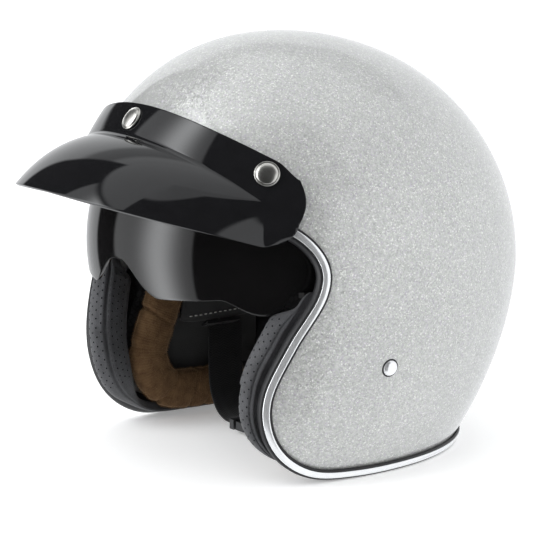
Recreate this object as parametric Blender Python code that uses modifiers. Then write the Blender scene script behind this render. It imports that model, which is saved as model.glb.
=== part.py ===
# Open face motorcycle helmet: shell, snap-on peak, drop-down sun visor, padding and chin strap.
# Metres, +Z up, front of the helmet towards -Y, wearer's left at +X.
import math
import bmesh
import bpy
import numpy as np
from mathutils import Matrix, Vector

MM = 0.001

# ------------------------------------------------------------------ driving dimensions (mm)
SHELL_HALF_WIDTH = 125.0      # half of the outside width
SHELL_FRONT = 124.4           # reach of the outer surface in front of the section centre
SHELL_BACK = 156.6            # reach behind it
SHELL_TOP = 255.2             # crown height above the standing plane
SHELL_WAIST = 112.5           # height of the widest level
SHELL_WALL = 4.0
PLAN_N = 2.135                # plan section exponent
UP_N, UP_FRONT_N = 2.008, 2.147
TUCK_SIDE, TUCK_SIDE_N = 0.225, 2.328
TUCK_BACK, TUCK_BACK_N = 0.290, 1.649

# cut edge of the shell seen from the side: (y, z), brow first, then cheek, chin, bottom
EDGE = [(-87, 163.5), (-63.5, 152.5), (-50, 136), (-50.5, 117), (-65.5, 88.5), (-75.3, 60),
        (-73.6, 38), (-62.5, 19.5), (-42, 7.2), (-12, 4.1), (30, 4.0)]
BROW_Z = 168.0
BOTTOM_Z = 4.0

PEAK_WALL = 2.0
PEAK_GAP = 4.6                # underside of the snap band above the shell
BRIM_HALF_WIDTH = 105.0
BRIM_REACH = 103.5
BRIM_CENTRE_Y = -61.5
BRIM_Z = 172.8                # front edge height at the middle
BRIM_DROP = 27.2              # how far the edge falls towards the ends

VISOR_Y, VISOR_Z = -5.5, 127.0    # pivot axis of the sun visor
VISOR_R = 109.5
VISOR_HALF_WIDTH = 110.0
VISOR_N = 2.2
VISOR_WALL = 2.0
VISOR_LOW, VISOR_HIGH = -10.5, 29.5

SNAP_R = 7.4
RIVET_Y, RIVET_Z, RIVET_R = -6.2, 69.6, 4.7

STRAP_Y = 13.0                # mid width of the chin strap where it hangs from the sides
STRAP_LEAN = 0.30             # and how far forward it runs per mm down
STRAP_PIVOT_Z = 60.0
STRAP_W, STRAP_T = 26.0, 1.8

CENTRE_Y = -4.20              # middle of the overall length, moved to the origin
FLOOR_Z = 0.0                 # standing plane

# ------------------------------------------------------------------ scene
for ob in list(bpy.data.objects):
    bpy.data.objects.remove(ob, do_unlink=True)

parts_col = bpy.data.collections.new("open_face_helmet")
cut_col = bpy.data.collections.new("cutters")
bpy.context.scene.collection.children.link(parts_col)
bpy.context.scene.collection.children.link(cut_col)


def material(name, rgb, rough, metal=0.0):
    m = bpy.data.materials.new(name)
    m.use_nodes = True
    b = m.node_tree.nodes["Principled BSDF"]
    b.inputs["Base Color"].default_value = (*rgb, 1.0)
    b.inputs["Roughness"].default_value = rough
    b.inputs["Metallic"].default_value = metal
    m.diffuse_color = (*rgb, 1.0)
    return m


PAINT = material("silver_flake_paint", (0.55, 0.56, 0.56), 0.3, 0.6)
BLACK = material("gloss_black", (0.012, 0.012, 0.013), 0.12)
SMOKE = material("dark_smoke", (0.02, 0.02, 0.022), 0.08)
RUBBER = material("black_rubber", (0.02, 0.02, 0.02), 0.6)
CHROME = material("bright_chrome", (0.8, 0.8, 0.82), 0.08, 1.0)
NICKEL = material("satin_nickel", (0.62, 0.61, 0.58), 0.3, 1.0)
FOAM = material("black_eps_foam", (0.03, 0.03, 0.03), 0.85)
LEATHER = material("charcoal_leatherette", (0.045, 0.045, 0.048), 0.6)
PLUSH = material("brown_plush", (0.13, 0.065, 0.025), 0.9)
FABRIC = material("black_fabric", (0.015, 0.015, 0.015), 0.9)
WEB = material("black_webbing", (0.012, 0.012, 0.012), 0.85)
PLASTIC = material("matte_black_plastic", (0.02, 0.02, 0.02), 0.45)


def link(ob, mat=None, cutter=False, joint=None):
    """Put an object in its collection; joint is the empty its piece moves with."""
    (cut_col if cutter else parts_col).objects.link(ob)
    if cutter:
        ob.hide_render = True
        ob.display_type = "WIRE"
    else:
        ob.data.materials.append(mat)
    if joint is not None:
        ob.parent = joint
        ob.matrix_parent_inverse = Matrix.Translation(-joint.location)
    return ob


def joint_empty(name, point):
    e = bpy.data.objects.new(name, None)
    e.location = world(point)
    e.empty_display_size = 0.02
    parts_col.objects.link(e)
    return e


def world(p):
    """Design point in mm to metres in the object's frame."""
    return Vector((p[0] * MM, (p[1] - CENTRE_Y) * MM, (p[2] - FLOOR_Z) * MM))


def from_bmesh(name, bm, mat=None, cutter=False, joint=None, smooth=True, closed=True):
    """Object from a bmesh whose points are design points in mm."""
    for v in bm.verts:
        v.co = world(v.co)
    if closed:
        bmesh.ops.recalc_face_normals(bm, faces=bm.faces)
    me = bpy.data.meshes.new(name)
    bm.to_mesh(me)
    bm.free()
    if smooth:
        me.shade_smooth()
        me.set_sharp_from_angle(angle=math.radians(35))
    return link(bpy.data.objects.new(name, me), mat, cutter, joint)


def solidify(ob, thick, offset=-1.0):
    m = ob.modifiers.new("wall", "SOLIDIFY")
    m.thickness = thick * MM
    m.offset = offset
    m.use_even_offset = True
    return ob


def bevel(ob, width, segments=2, angle=30):
    m = ob.modifiers.new("soft_edges", "BEVEL")
    m.width = width * MM
    m.segments = segments
    m.limit_method = "ANGLE"
    m.angle_limit = math.radians(angle)
    return ob


def boolean(ob, other, op="DIFFERENCE"):
    m = ob.modifiers.new("cut", "BOOLEAN")
    m.operation = op
    m.object = other
    m.solver = "EXACT"


def turned(name, origin, axis, profile, mat=None, seg=16, **kw):
    """Profile of (height, radius) pairs in mm turned about an axis with a Screw modifier."""
    pts = [(r, h) for h, r in profile]
    area = sum(a[0] * b[1] - b[0] * a[1] for a, b in zip(pts, pts[1:] + pts[:1]))
    if area > 0:
        pts = pts[::-1]
    me = bpy.data.meshes.new(name)
    n = len(pts)
    ring = min(r for r, h in pts) > 1e-6
    edges = [(i, i + 1) for i in range(n - 1)] + ([(n - 1, 0)] if ring else [])
    me.from_pydata([(r * MM, 0.0, h * MM) for r, h in pts], edges, [])
    ob = bpy.data.objects.new(name, me)
    ob.location = world(origin)
    ob.rotation_mode = "QUATERNION"
    ob.rotation_quaternion = Vector(axis).to_track_quat("Z", "Y")
    m = ob.modifiers.new("turn", "SCREW")
    m.axis = "Z"
    m.steps = m.render_steps = seg
    m.use_merge_vertices = True
    m.merge_threshold = 0.00001
    m.use_smooth_shade = True
    return link(ob, mat, **kw)


def box(name, lo, hi, mat=None, **kw):
    """Axis-aligned box between two corners in mm, from the cube primitive."""
    bm = bmesh.new()
    bmesh.ops.create_cube(bm, size=1.0)
    for v in bm.verts:
        v.co = Vector([(a + b) / 2 + c * (b - a) for a, b, c in zip(lo, hi, v.co)])
    return from_bmesh(name, bm, mat, smooth=False, **kw)


def plate(name, origin, ea, eb, outline, depth, mat=None, offset=0.0, **kw):
    """Flat outline in the plane (ea, eb) given its depth by Solidify."""
    bm = bmesh.new()
    o, ea, eb = (np.array(q, float) for q in (origin, ea, eb))
    bm.faces.new([bm.verts.new(o + ea * a + eb * b) for a, b in outline])
    ob = from_bmesh(name, bm, mat, smooth=False, **kw)
    return solidify(ob, depth, offset)


def surface(name, fn, nu, nv, mat=None, **kw):
    """Open sheet: a grid primitive with its points moved to fn(u, v), both from 0 to 1."""
    bm = bmesh.new()
    bmesh.ops.create_grid(bm, x_segments=nu, y_segments=nv, size=1.0)
    for v in bm.verts:
        v.co = Vector(fn((v.co.x + 1) / 2, (v.co.y + 1) / 2))
    return from_bmesh(name, bm, mat, closed=False, **kw)


def ribbon(name, path, width, thick, mat, **kw):
    """Flat webbing along a path in mm, its width along Y."""
    n = len(path) - 1
    ob = surface(name, lambda u, v: np.array(path[round(u * n)]) + np.array([0, (v - 0.5) * width, 0]),
                 n, 1, mat, **kw)
    return solidify(ob, thick, 0.0)


def dome(name, fn, seg, up, down, mat=None, closed=False, **kw):
    """UV sphere primitive cut open below and moved to fn(angle, rise), rise -1..0..1."""
    bm = bmesh.new()
    bmesh.ops.create_uvsphere(bm, u_segments=seg, v_segments=2 * up, radius=1.0)
    low = math.sin(math.radians(90.0 * down / up))
    bmesh.ops.delete(bm, geom=[v for v in bm.verts if v.co.z < -low - 1e-4], context="VERTS")
    if closed:
        rim = [e for e in bm.edges if e.is_boundary]
        bmesh.ops.contextual_create(bm, geom=rim)
    for v in bm.verts:
        lat = math.degrees(math.asin(max(-1.0, min(1.0, v.co.z))))
        rise = math.sin(math.radians(lat)) if lat > 0 else lat / (90.0 * down / up)
        v.co = Vector(fn(math.atan2(v.co.y, v.co.x), rise))
    return from_bmesh(name, bm, mat, closed=closed, **kw)


def loft(name, frames, profiles, mat=None, closed=False, **kw):
    """Faces between matching (a, b) outlines standing on frames (point, ea, eb)."""
    bm = bmesh.new()
    rings = []
    for (p, ea, eb), prof in zip(frames, profiles):
        p, ea, eb = (np.array(q, float) for q in (p, ea, eb))
        rings.append([bm.verts.new(p + ea * a + eb * b) for a, b in prof])
    pairs = list(zip(rings, rings[1:])) + ([(rings[-1], rings[0])] if closed else [])
    n = len(profiles[0])
    for ra, rb in pairs:
        for j in range(n):
            bm.faces.new((ra[j], ra[(j + 1) % n], rb[(j + 1) % n], rb[j]))
    if not closed:
        bm.faces.new(rings[0][::-1])
        bm.faces.new(rings[-1])
    return from_bmesh(name, bm, mat, **kw)


def mirror_frames(frames):
    f = np.array([-1, 1, 1])
    return [(np.array(p) * f, np.array(ea) * f, np.array(eb) * f) for p, ea, eb in frames]


def ease(t):
    t = min(1.0, max(0.0, t))
    return t * t * (3 - 2 * t)


# ------------------------------------------------------------------ shell surface
def spow(v, e):
    return math.copysign(abs(v) ** e, v)


def level(z, off=0.0):
    """Half width, front reach and back reach of the shell at a height, moved out by off."""
    top = SHELL_TOP + off
    if z >= SHELL_WAIST:
        u = min(1.0, (z - SHELL_WAIST) / (top - SHELL_WAIST))
        s = max(0.0, 1 - u ** UP_N) ** (1 / UP_N)
        sf = max(0.0, 1 - u ** UP_FRONT_N) ** (1 / UP_FRONT_N)
        return (SHELL_HALF_WIDTH + off) * s, (SHELL_FRONT + off) * sf, (SHELL_BACK + off) * s
    w = (SHELL_WAIST - z) / SHELL_WAIST
    return ((SHELL_HALF_WIDTH + off) * (1 - TUCK_SIDE * w ** TUCK_SIDE_N), SHELL_FRONT + off,
            (SHELL_BACK + off) * (1 - TUCK_BACK * w ** TUCK_BACK_N))


def at(th, z, off=0.0):
    """Point of the shell surface: th = -90 deg is the front, 0 the left, 90 the back."""
    a, yf, yb = level(z, off)
    s, c = math.sin(th), math.cos(th)
    return np.array([a * spow(c, 2 / PLAN_N), (yb if s > 0 else yf) * spow(s, 2 / PLAN_N), z])


def angle_of(y, z):
    a, yf, yb = level(z)
    reach = yb if y > 0 else yf
    return math.asin(spow(min(1.0, abs(y) / reach), PLAN_N / 2) * (1 if y > 0 else -1))


def outward(p):
    """Unit normal of the shell surface at a point near it."""
    def f(q):
        a, yf, yb = level(min(q[2], SHELL_TOP - 0.5))
        r = yb if q[1] > 0 else yf
        return (abs(q[0]) / a) ** PLAN_N + (abs(q[1]) / r) ** PLAN_N
    g = []
    for k in range(3):
        hi, lo = np.array(p, float), np.array(p, float)
        hi[k] += 0.05
        lo[k] -= 0.05
        g.append(f(hi) - f(lo))
    g = np.array(g)
    return g / np.linalg.norm(g)


def catmull(pts, n):
    """Points of a smooth curve through pts, n per span."""
    p = [np.array(q, float) for q in pts]
    p = [2 * p[0] - p[1]] + p + [2 * p[-1] - p[-2]]
    out = []
    for i in range(1, len(p) - 2):
        for k in range(n):
            t = k / n
            a, b, c, d = p[i - 1], p[i], p[i + 1], p[i + 2]
            out.append(0.5 * (2 * b + (c - a) * t + (2 * a - 5 * b + 4 * c - d) * t * t
                              + (3 * b - a - 3 * c + d) * t ** 3))
    out.append(p[-2])
    return out


# the edge as (angle, height) on the shell: front middle, left side, back middle
edge_nodes = [(-math.pi / 2, BROW_Z)] + [(angle_of(y, z), z) for y, z in EDGE] + [
    (math.radians(50), BOTTOM_Z), (math.pi / 2, BOTTOM_Z)]


def resample(pts, n):
    """n + 1 points evenly spaced along a polyline."""
    pts = np.array(pts)
    d = np.concatenate([[0], np.cumsum(np.linalg.norm(np.diff(pts, axis=0), axis=1))])
    s = np.linspace(0, d[-1], n + 1)
    return np.stack([np.interp(s, d, pts[:, k]) for k in range(pts.shape[1])], axis=1)


def edge_half(n):
    fine = catmull(edge_nodes, 60)
    return resample([at(a, z) for a, z in fine], n)


def edge_loop(n):
    """Closed loop of frames (point, towards the opening, outward) along the cut edge."""
    half = edge_half(n)
    pts = list(half) + [p * np.array([-1, 1, 1]) for p in half[-2:0:-1]]
    m = len(pts)
    frames = []
    for i in range(m):
        p = pts[i]
        t = pts[(i + 1) % m] - pts[i - 1]
        t /= np.linalg.norm(t)
        nrm = outward(p)
        nrm = nrm - t * np.dot(nrm, t)
        nrm /= np.linalg.norm(nrm)
        b = np.cross(nrm, t)
        frames.append((p, b, nrm))
    if frames[0][1][2] > 0:
        frames = [(p, -b, nrm) for p, b, nrm in frames]
    return frames


def shell_fn(off, z_low):
    """Dome mapping that follows the shell at an offset down to z_low."""
    def fn(a, rise):
        top = SHELL_TOP + off
        z = SHELL_WAIST + rise * ((top - SHELL_WAIST) if rise > 0 else (SHELL_WAIST - z_low))
        ha, yf, yb = level(min(z, top - 1e-6), off)
        if rise > 0.99999:
            return 0.0, 0.0, top
        s, c = math.sin(a), math.cos(a)
        return ha * spow(c, 2 / PLAN_N), (yb if s > 0 else yf) * spow(s, 2 / PLAN_N), z
    return fn


X, Y, Z = (1, 0, 0), (0, 1, 0), (0, 0, 1)


def prism(name, outline, x0, x1, mat=None, **kw):
    """Outline (y, z) given a width along X."""
    return plate(name, ((x0 + x1) / 2, 0, 0), Y, Z, outline, abs(x1 - x0), mat, **kw)


# ------------------------------------------------------------------ outer shell
LOOP = edge_loop(38)
shell = dome("outer_shell", shell_fn(0.0, BOTTOM_Z - 6.0), 40, 8, 5, PAINT)
solidify(shell, SHELL_WALL)
cheek_edge = [(p + b * 0.9)[1:] for p, b, n in LOOP[:39]]
face_outline = [(-190.0, cheek_edge[0][1])] + [tuple(q) for q in cheek_edge] + [
    (190.0, cheek_edge[-1][1]), (190.0, -40.0), (-190.0, -40.0)]
boolean(shell, prism("cut_face", face_outline, -160, 160, cutter=True))
square = loft("cut_square_edge", LOOP, [[(0, 3), (7.5, 3), (7.5, -7.5), (0, -7.5)]] * len(LOOP),
              closed=True, cutter=True)
boolean(shell, square)

# ------------------------------------------------------------------ edge trim
RUBBER_PROFILE = [(-3.7, 0.35), (-3.7, 1.7), (-2.7, 2.2), (-2.7, 1.3), (2.2, 1.3), (2.2, 2.3),
                  (3.4, 2.1), (4.9, -0.6), (4.9, -3.8), (2.6, -6.9), (-6.0, -6.9), (-6.0, -5.1),
                  (0.5, -5.1), (0.5, 0.35)]
CHROME_PROFILE = [(-2.4, 1.6), (-2.4, 2.5), (-0.3, 3.0), (1.9, 2.5), (1.9, 1.6)]
rubber = loft("edge_trim_rubber", LOOP, [RUBBER_PROFILE] * len(LOOP), RUBBER, True)
boolean(rubber, box("cut_floor", (-170, -190, -30), (170, 210, FLOOR_Z), cutter=True))
loft("edge_trim_chrome", LOOP, [CHROME_PROFILE] * len(LOOP), CHROME, True)

# ------------------------------------------------------------------ impact liner and fabric liner
HEAD_HALF, HEAD_FRONT, HEAD_BACK, HEAD_TOP = 86.0, 84.0, 122.0, 217.0


def cavity_fn(off, z_low):
    """Dome mapping of the head cavity, moved out by off."""
    def fn(a, rise):
        z = SHELL_WAIST + rise * ((HEAD_TOP + off - SHELL_WAIST) if rise > 0
                                  else (SHELL_WAIST - z_low))
        s = max(0.0, 1 - max(0.0, rise) ** 2.2) ** (1 / 2.2)
        sn, c = math.sin(a), math.cos(a)
        fy = (HEAD_BACK if sn > 0 else HEAD_FRONT) + off
        return (HEAD_HALF + off) * s * spow(c, 0.91), fy * s * spow(sn, 0.91), z
    return fn


eps = dome("eps_liner", shell_fn(-SHELL_WALL - 1.6, 62.0), 36, 8, 2, FOAM, closed=True)
boolean(eps, dome("cut_head", cavity_fn(0.0, 40.0), 36, 8, 3, closed=True, cutter=True))
eps_outline = [(-190, 179), (-88, 174), (-57, 162), (-39, 142), (-39, 114), (40, 114), (40, -20),
               (-190, -20)]
boolean(eps, prism("cut_eps_face", eps_outline, -160, 160, cutter=True))


def visor_r(x, r0=VISOR_R, half=VISOR_HALF_WIDTH):
    """Radius of the sun visor's turned surface about its pivot axis."""
    return r0 * max(0.0, 1 - (abs(x) / half) ** VISOR_N) ** (1 / VISOR_N)


def visor_point(x, ang, r):
    return np.array([x, VISOR_Y - r * math.cos(ang), VISOR_Z + r * math.sin(ang)])


def visor_sweep(d):
    """Sheet just inside the path that the visor sweeps."""
    def fn(u, v):
        x = (VISOR_HALF_WIDTH - d) * math.sin(math.radians(-87 + 174 * u))
        r = max(3.0, visor_r(x, VISOR_R - d, VISOR_HALF_WIDTH - d))
        return visor_point(x, math.radians(-32 + 112 * v), r)
    return fn


pocket = surface("cut_visor_pocket", visor_sweep(5.0), 26, 12, cutter=True)
solidify(pocket, 45.0, 1.0).modifiers["wall"].use_even_offset = False
boolean(eps, pocket)
for sx, tag in ((1, "left"), (-1, "right")):
    boolean(eps, turned("cut_hub_" + tag, (sx * 97, VISOR_Y, VISOR_Z), (sx, 0, 0),
                        [(0, 0), (0, 23), (40, 23), (40, 0)], seg=20, cutter=True))

crown = dome("crown_liner", cavity_fn(-0.8, 76.0), 36, 7, 2, FABRIC)
solidify(crown, 7.0)
crown_outline = [(-190, 174), (-80, 169), (-52, 157), (-35, 139), (-35, 106), (30, 106), (58, 78),
                 (58, 60), (-190, 60)]
boolean(crown, prism("cut_crown", crown_outline, -160, 160, cutter=True))

# ------------------------------------------------------------------ cheek padding
inside = dome("cut_inside", shell_fn(-SHELL_WALL - 2.4, -4.0), 40, 8, 7, closed=True, cutter=True)
base_outline = [(-22, 108), (-32, 107), (-38, 97), (-49, 76), (-55, 58), (-54, 42), (-46, 29),
                (-32, 19), (-16, 15), (32, 14), (32, 46), (-8, 46), (-20, 50), (-25, 62)]
BASE_X = 91.0

# leather cover: section at the cheek front and along the bottom, (b, n) from the cut edge
COVER_FRONT = [(5.8, -7.7), (7.6, -5.0), (11.0, -4.2), (14.5, -6.0), (16.6, -10.0), (15.6, -15.0),
               (11.5, -19.5), (5.0, -22.8), (-1.5, -24.0), (-4.0, -21.0), (-1.0, -14.0),
               (-2.5, -9.5)]
COVER_LOW = [(5.4, -7.7), (5.9, -8.6), (6.4, -9.8), (7.0, -11.0), (7.5, -12.2), (7.4, -13.2),
             (6.6, -13.6), (5.2, -13.0), (3.6, -12.2), (1.6, -11.2), (0.2, -9.6), (1.8, -8.2)]
COVER_TOP = [(5.4, -7.7), (6.3, -7.2), (7.0, -6.9), (7.6, -7.6), (7.7, -8.4), (7.0, -9.4),
             (5.0, -10.0), (1.5, -10.2), (-2.5, -10.2), (-5.0, -9.6), (-4.5, -8.6), (-2.0, -7.9)]


def cover_sections():
    fine = edge_loop(150)[:151]
    pick = [fr for fr in fine if fr[0][2] < 117 and fr[0][1] < 30][::3]
    profs = []
    for p, b, n in pick:
        low_b = ease((p[1] + 82) / 28) if p[2] < 58 else 0.0
        low_n = ease((p[1] + 77) / 32) if p[2] < 58 else 0.0
        top = ease((p[2] - 91) / 15)
        sec = []
        for (a0, b0), (a1, b1), (a2, b2) in zip(COVER_FRONT, COVER_LOW, COVER_TOP):
            sec.append((a0 + (a1 - a0) * low_b + (a2 - a0) * top,
                        b0 + (b1 - b0) * low_n + (b2 - b0) * top))
        profs.append(sec)
    return pick, profs


ROLL_X, ROLL_T, ROLL_W = 80.0, 8.0, 13.0
ROLL_PATH = [(-27, 104), (-31, 84), (-39, 64), (-44.5, 47), (-41.5, 32), (-30, 21), (-12, 18.3),
             (8, 19), (28, 22)]


def roll_sections(sx):
    """Frames and oval sections of the plush roll round the ear hollow."""
    n = 18
    path = resample(catmull(ROLL_PATH, 12), n)
    frames, profs = [], []
    for i, p in enumerate(path):
        t = path[min(i + 1, n)] - path[max(i - 1, 0)]
        t /= np.linalg.norm(t)
        k = min(1.0, 0.55 + 0.33 * min(i, n - i))
        frames.append(((sx * ROLL_X, p[0], p[1]), (0, -t[1], t[0]), (sx, 0, 0)))
        ring = [2 * math.pi * (j + 0.5) / 10 for j in range(10)]
        profs.append([(k * ROLL_W * spow(math.cos(a), 0.8), k * ROLL_T * spow(math.sin(a), 0.8))
                      for a in ring])
    return frames, profs


EAR_PANEL = [(-12, 103), (-15.5, 84), (-17.5, 73), (-14, 66), (32, 66), (37, 71), (37, 90),
             (25, 103)]
SNAP_PROFILE = [(0, 0), (0, 5.5), (1.1, 5.5), (1.1, 3), (2.1, 3), (2.1, 0)]

cover_frames, cover_profiles = cover_sections()
for sx, tag in ((1, "left"), (-1, "right")):
    base = prism("cheek_pad_base_" + tag, base_outline, sx * BASE_X, sx * 140, FOAM)
    boolean(base, inside, "INTERSECT")
    fr = cover_frames if sx > 0 else mirror_frames(cover_frames)
    loft("cheek_pad_cover_" + tag, fr, cover_profiles, LEATHER)
    loft("cheek_roll_" + tag, *roll_sections(sx), PLUSH)
    prism("ear_panel_" + tag, EAR_PANEL, sx * 79.5, sx * 82.5, FABRIC)
    for where, y, z in (("upper", -34.5, 74), ("lower", -44, 46)):
        turned("pad_snap_%s_%s" % (where, tag), (sx * 88.5, y, z), (sx, 0, 0), SNAP_PROFILE,
               NICKEL, 12)

# ------------------------------------------------------------------ neck padding
NECK_PAD = [(9, 12), (6.5, 15.5), (7.5, 21), (18, 26), (34, 27), (49, 24), (56, 17), (56, 10),
            (40, 8.0), (24, 9.0), (16, 11.6)]
NECK_ROLL = [(16, 28.5), (18, 33), (30, 36.5), (42, 33.5), (45, 28.0), (31, 28.0)]


def neck(name, section, a0, a1, cols, mat):
    """Pad round the nape: section is (height, depth inside the shell)."""
    zc = sum(z for z, d in section) / len(section)
    dc = sum(d for z, d in section) / len(section)
    frames, profs = [], []
    for i in range(cols + 1):
        f = i / cols
        a = math.radians(a0 + (a1 - a0) * f)
        k = 0.72 + 0.28 * ease(min(f, 1 - f) / 0.06)
        mid = at(a, zc, -dc)
        ring = []
        for z, d in section:
            q = at(a, zc + (z - zc) * k, -(dc + (d - dc) * k)) - mid
            ring.append((math.hypot(q[0], q[1]) * (1 if q @ mid > 0 else -1), q[2]))
        w = at(a, zc, 0) - at(a, zc, -20)
        w /= np.linalg.norm(w)
        frames.append((mid, w, (0, 0, 1)))
        profs.append(ring)
    return loft(name, frames, profs, mat)


neck("neck_pad", NECK_PAD, 17, 163, 24, LEATHER)
neck("neck_roll", NECK_ROLL, 19, 161, 24, PLUSH)

# ------------------------------------------------------------------ peak
peak_joint = joint_empty("peak_slide", (0, -105, 207))


def surf_polar(deg, z, off):
    """Point of the shell's offset surface at a true plan bearing from the front."""
    a, yf, yb = level(z, off)
    s, c = math.sin(math.radians(deg)), math.cos(math.radians(deg))
    r = ((abs(s) / a) ** PLAN_N + (abs(c) / (yf if c > 0 else yb)) ** PLAN_N) ** (-1 / PLAN_N)
    return np.array([r * s, -r * c, z])


def band_top_z(deg):
    return 217.5 - 27.5 * (abs(deg) / 57.0) ** 2.1


def band_low_z(deg):
    return 199.6 - 41.5 * (abs(deg) / 60.6) ** 2.25


def brim_edge(deg):
    s, c = math.sin(math.radians(deg)), math.cos(math.radians(deg))
    z = BRIM_Z - BRIM_DROP * (min(abs(deg), 80.0) / 80.0) ** 1.75
    return np.array([BRIM_HALF_WIDTH * spow(s, 0.93), BRIM_CENTRE_Y - BRIM_REACH * spow(c, 0.93), z])


PEAK_STEPS = [0.0, 0.5, 0.93, 0.07, 0.33, 0.66, 1.0]


def peak_fn(u, v):
    """Band against the shell for the first rows, then the brim out to its edge."""
    t = -1 + 2 * u
    t = math.copysign(abs(t) ** 0.92, t)
    end = ease((abs(t) - 0.90) / 0.10)
    off = PEAK_GAP + PEAK_WALL
    top_a, low_a = 61.2 * t, 60.6 * t
    zt, zl = band_top_z(top_a) - 4.0 * end, band_low_z(low_a)
    row = round(v * (len(PEAK_STEPS) - 1))
    f = PEAK_STEPS[row]
    if row < 3:
        bulge = 1.6 * math.sin(math.pi * f) * end * math.copysign(1, t)
        return surf_polar(top_a + (low_a - top_a) * f + bulge, zt + (zl - zt) * f, off)
    k = surf_polar(low_a, zl, off)
    e = brim_edge(87.0 * t)
    e += np.array([0.0, -3.0, 3.0]) * end
    span = e - k
    rise = np.array([0.0, -0.35, 0.94]) * (0.40 * np.linalg.norm(span) * f * (1 - f))
    return k + span * f + rise


peak = surface("peak", peak_fn, 30, 6, BLACK, joint=peak_joint)
solidify(peak, PEAK_WALL, 1.0)


def on_shell(p):
    """Move a nearby point onto the shell surface along the normal."""
    p = np.array(p, float)

    def f(q):
        a, yf, yb = level(q[2])
        return (abs(q[0]) / a) ** PLAN_N + (abs(q[1]) / (yb if q[1] > 0 else yf)) ** PLAN_N
    for _ in range(30):
        n = outward(p)
        p = p - n * (f(p) - 1) / ((f(p + n * 0.05) - f(p)) / 0.05) * 0.9
    return p


STUD_PROFILE = [(-6.2, 0), (-6.2, 4.4), (-5.1, 4.4), (-5.1, 2.0), (0.4, 2.0), (0.4, 4.8),
                (1.0, 4.8), (1.1, 2.3), (1.7, 2.3), (2.4, 3.2), (3.5, 2.4), (3.5, 0)]
SOCKET_PROFILE = [(3.85, 0), (3.85, 5.4), (2.1, 5.4), (2.1, 6.7), (4.15, 6.7), (4.15, 2.1),
                  (6.4, 2.1), (6.4, 0)]
CAP_PROFILE = [(6.75, 0), (6.75, 7.0), (7.0, SNAP_R), (7.7, SNAP_R), (8.1, 6.9), (7.9, 6.2),
               (8.9, 4.6), (9.5, 2.4), (9.7, 0)]


def drill(tag, p, n, lo, hi, r):
    return turned("cut_" + tag, p, n, [(lo, 0), (lo, r), (hi, r), (hi, 0)], seg=12, cutter=True)


for tag, near in (("center", (0.0, -98.6, 205.4)), ("left", (88.6, -69.2, 182.4)),
                  ("right", (-88.6, -69.2, 182.4))):
    p = on_shell(near)
    n = outward(p)
    turned("shell_stud_" + tag, p, n, STUD_PROFILE, NICKEL, 12)
    turned("peak_socket_" + tag, p, n, SOCKET_PROFILE, NICKEL, 14, joint=peak_joint)
    turned("peak_cap_" + tag, p, n, CAP_PROFILE, NICKEL, 18, joint=peak_joint)
    boolean(shell, drill("stud_" + tag, p, n, -12, 1.4, 2.4))
    boolean(peak, drill("socket_" + tag, p, n, 4.0, 7.5, 2.5))
    boolean(eps, drill("nut_" + tag, p, n, -13, 1, 7.5))

# ------------------------------------------------------------------ sun visor
visor_joint = joint_empty("sun_visor_hinge", (0, VISOR_Y, VISOR_Z))


def visor_low(x):
    """Lower edge angle: nose notch in the middle, pull tab on the wearer's left."""
    a = VISOR_LOW * ease((abs(x) - 5) / 23) if abs(x) < 30 else VISOR_LOW
    if 72 < x <= 93:
        a -= 10.5 * ease((x - 72) / 19)
    elif 93 < x < 99.5:
        a -= 10.5 * ease((99.5 - x) / 5.5)
    return a


def visor_fn(u, v):
    x = VISOR_HALF_WIDTH * math.sin(math.radians(-86 + 172 * u))
    r = visor_r(x)
    lo, hi = visor_low(x), VISOR_HIGH
    if r < 60:
        lo = max(-70.0, -math.degrees(math.asin(min(0.93, 10.9 / r)))) + (lo - VISOR_LOW)
        hi = math.degrees(math.asin(min(0.93, (11 + 18.5 * max(0, r - 12) / 48) / r)))
    return visor_point(x, math.radians(lo + (hi - lo) * v), r)


lens = surface("sun_visor_lens", visor_fn, 38, 7, SMOKE, joint=visor_joint)
solidify(lens, VISOR_WALL, -1.0).modifiers["wall"].use_even_offset = False

HUB = [(104.4, 2.8), (104.4, 12.5), (107.0, 12.5), (107.0, 6.0), (111.4, 6.0), (111.4, 2.8)]
BRACKET = [(116.2, 0), (116.2, 2.8), (111.8, 2.8), (111.8, 11.0), (113.5, 12.5), (117.2, 12.5),
           (117.2, 0)]
SCREW = [(101.0, 0), (101.0, 4.6), (102.0, 5.4), (104.0, 5.4), (104.0, 2.5), (115.6, 2.5),
         (115.6, 0)]
for sx, tag in ((1, "left"), (-1, "right")):
    o, ax = (0.0, VISOR_Y, VISOR_Z), (sx, 0, 0)
    turned("visor_hub_" + tag, o, ax, HUB, PLASTIC, 16, joint=visor_joint)
    turned("visor_pivot_bracket_" + tag, o, ax, BRACKET, PLASTIC, 16)
    turned("visor_pivot_screw_" + tag, o, ax, SCREW, NICKEL, 12)

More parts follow.
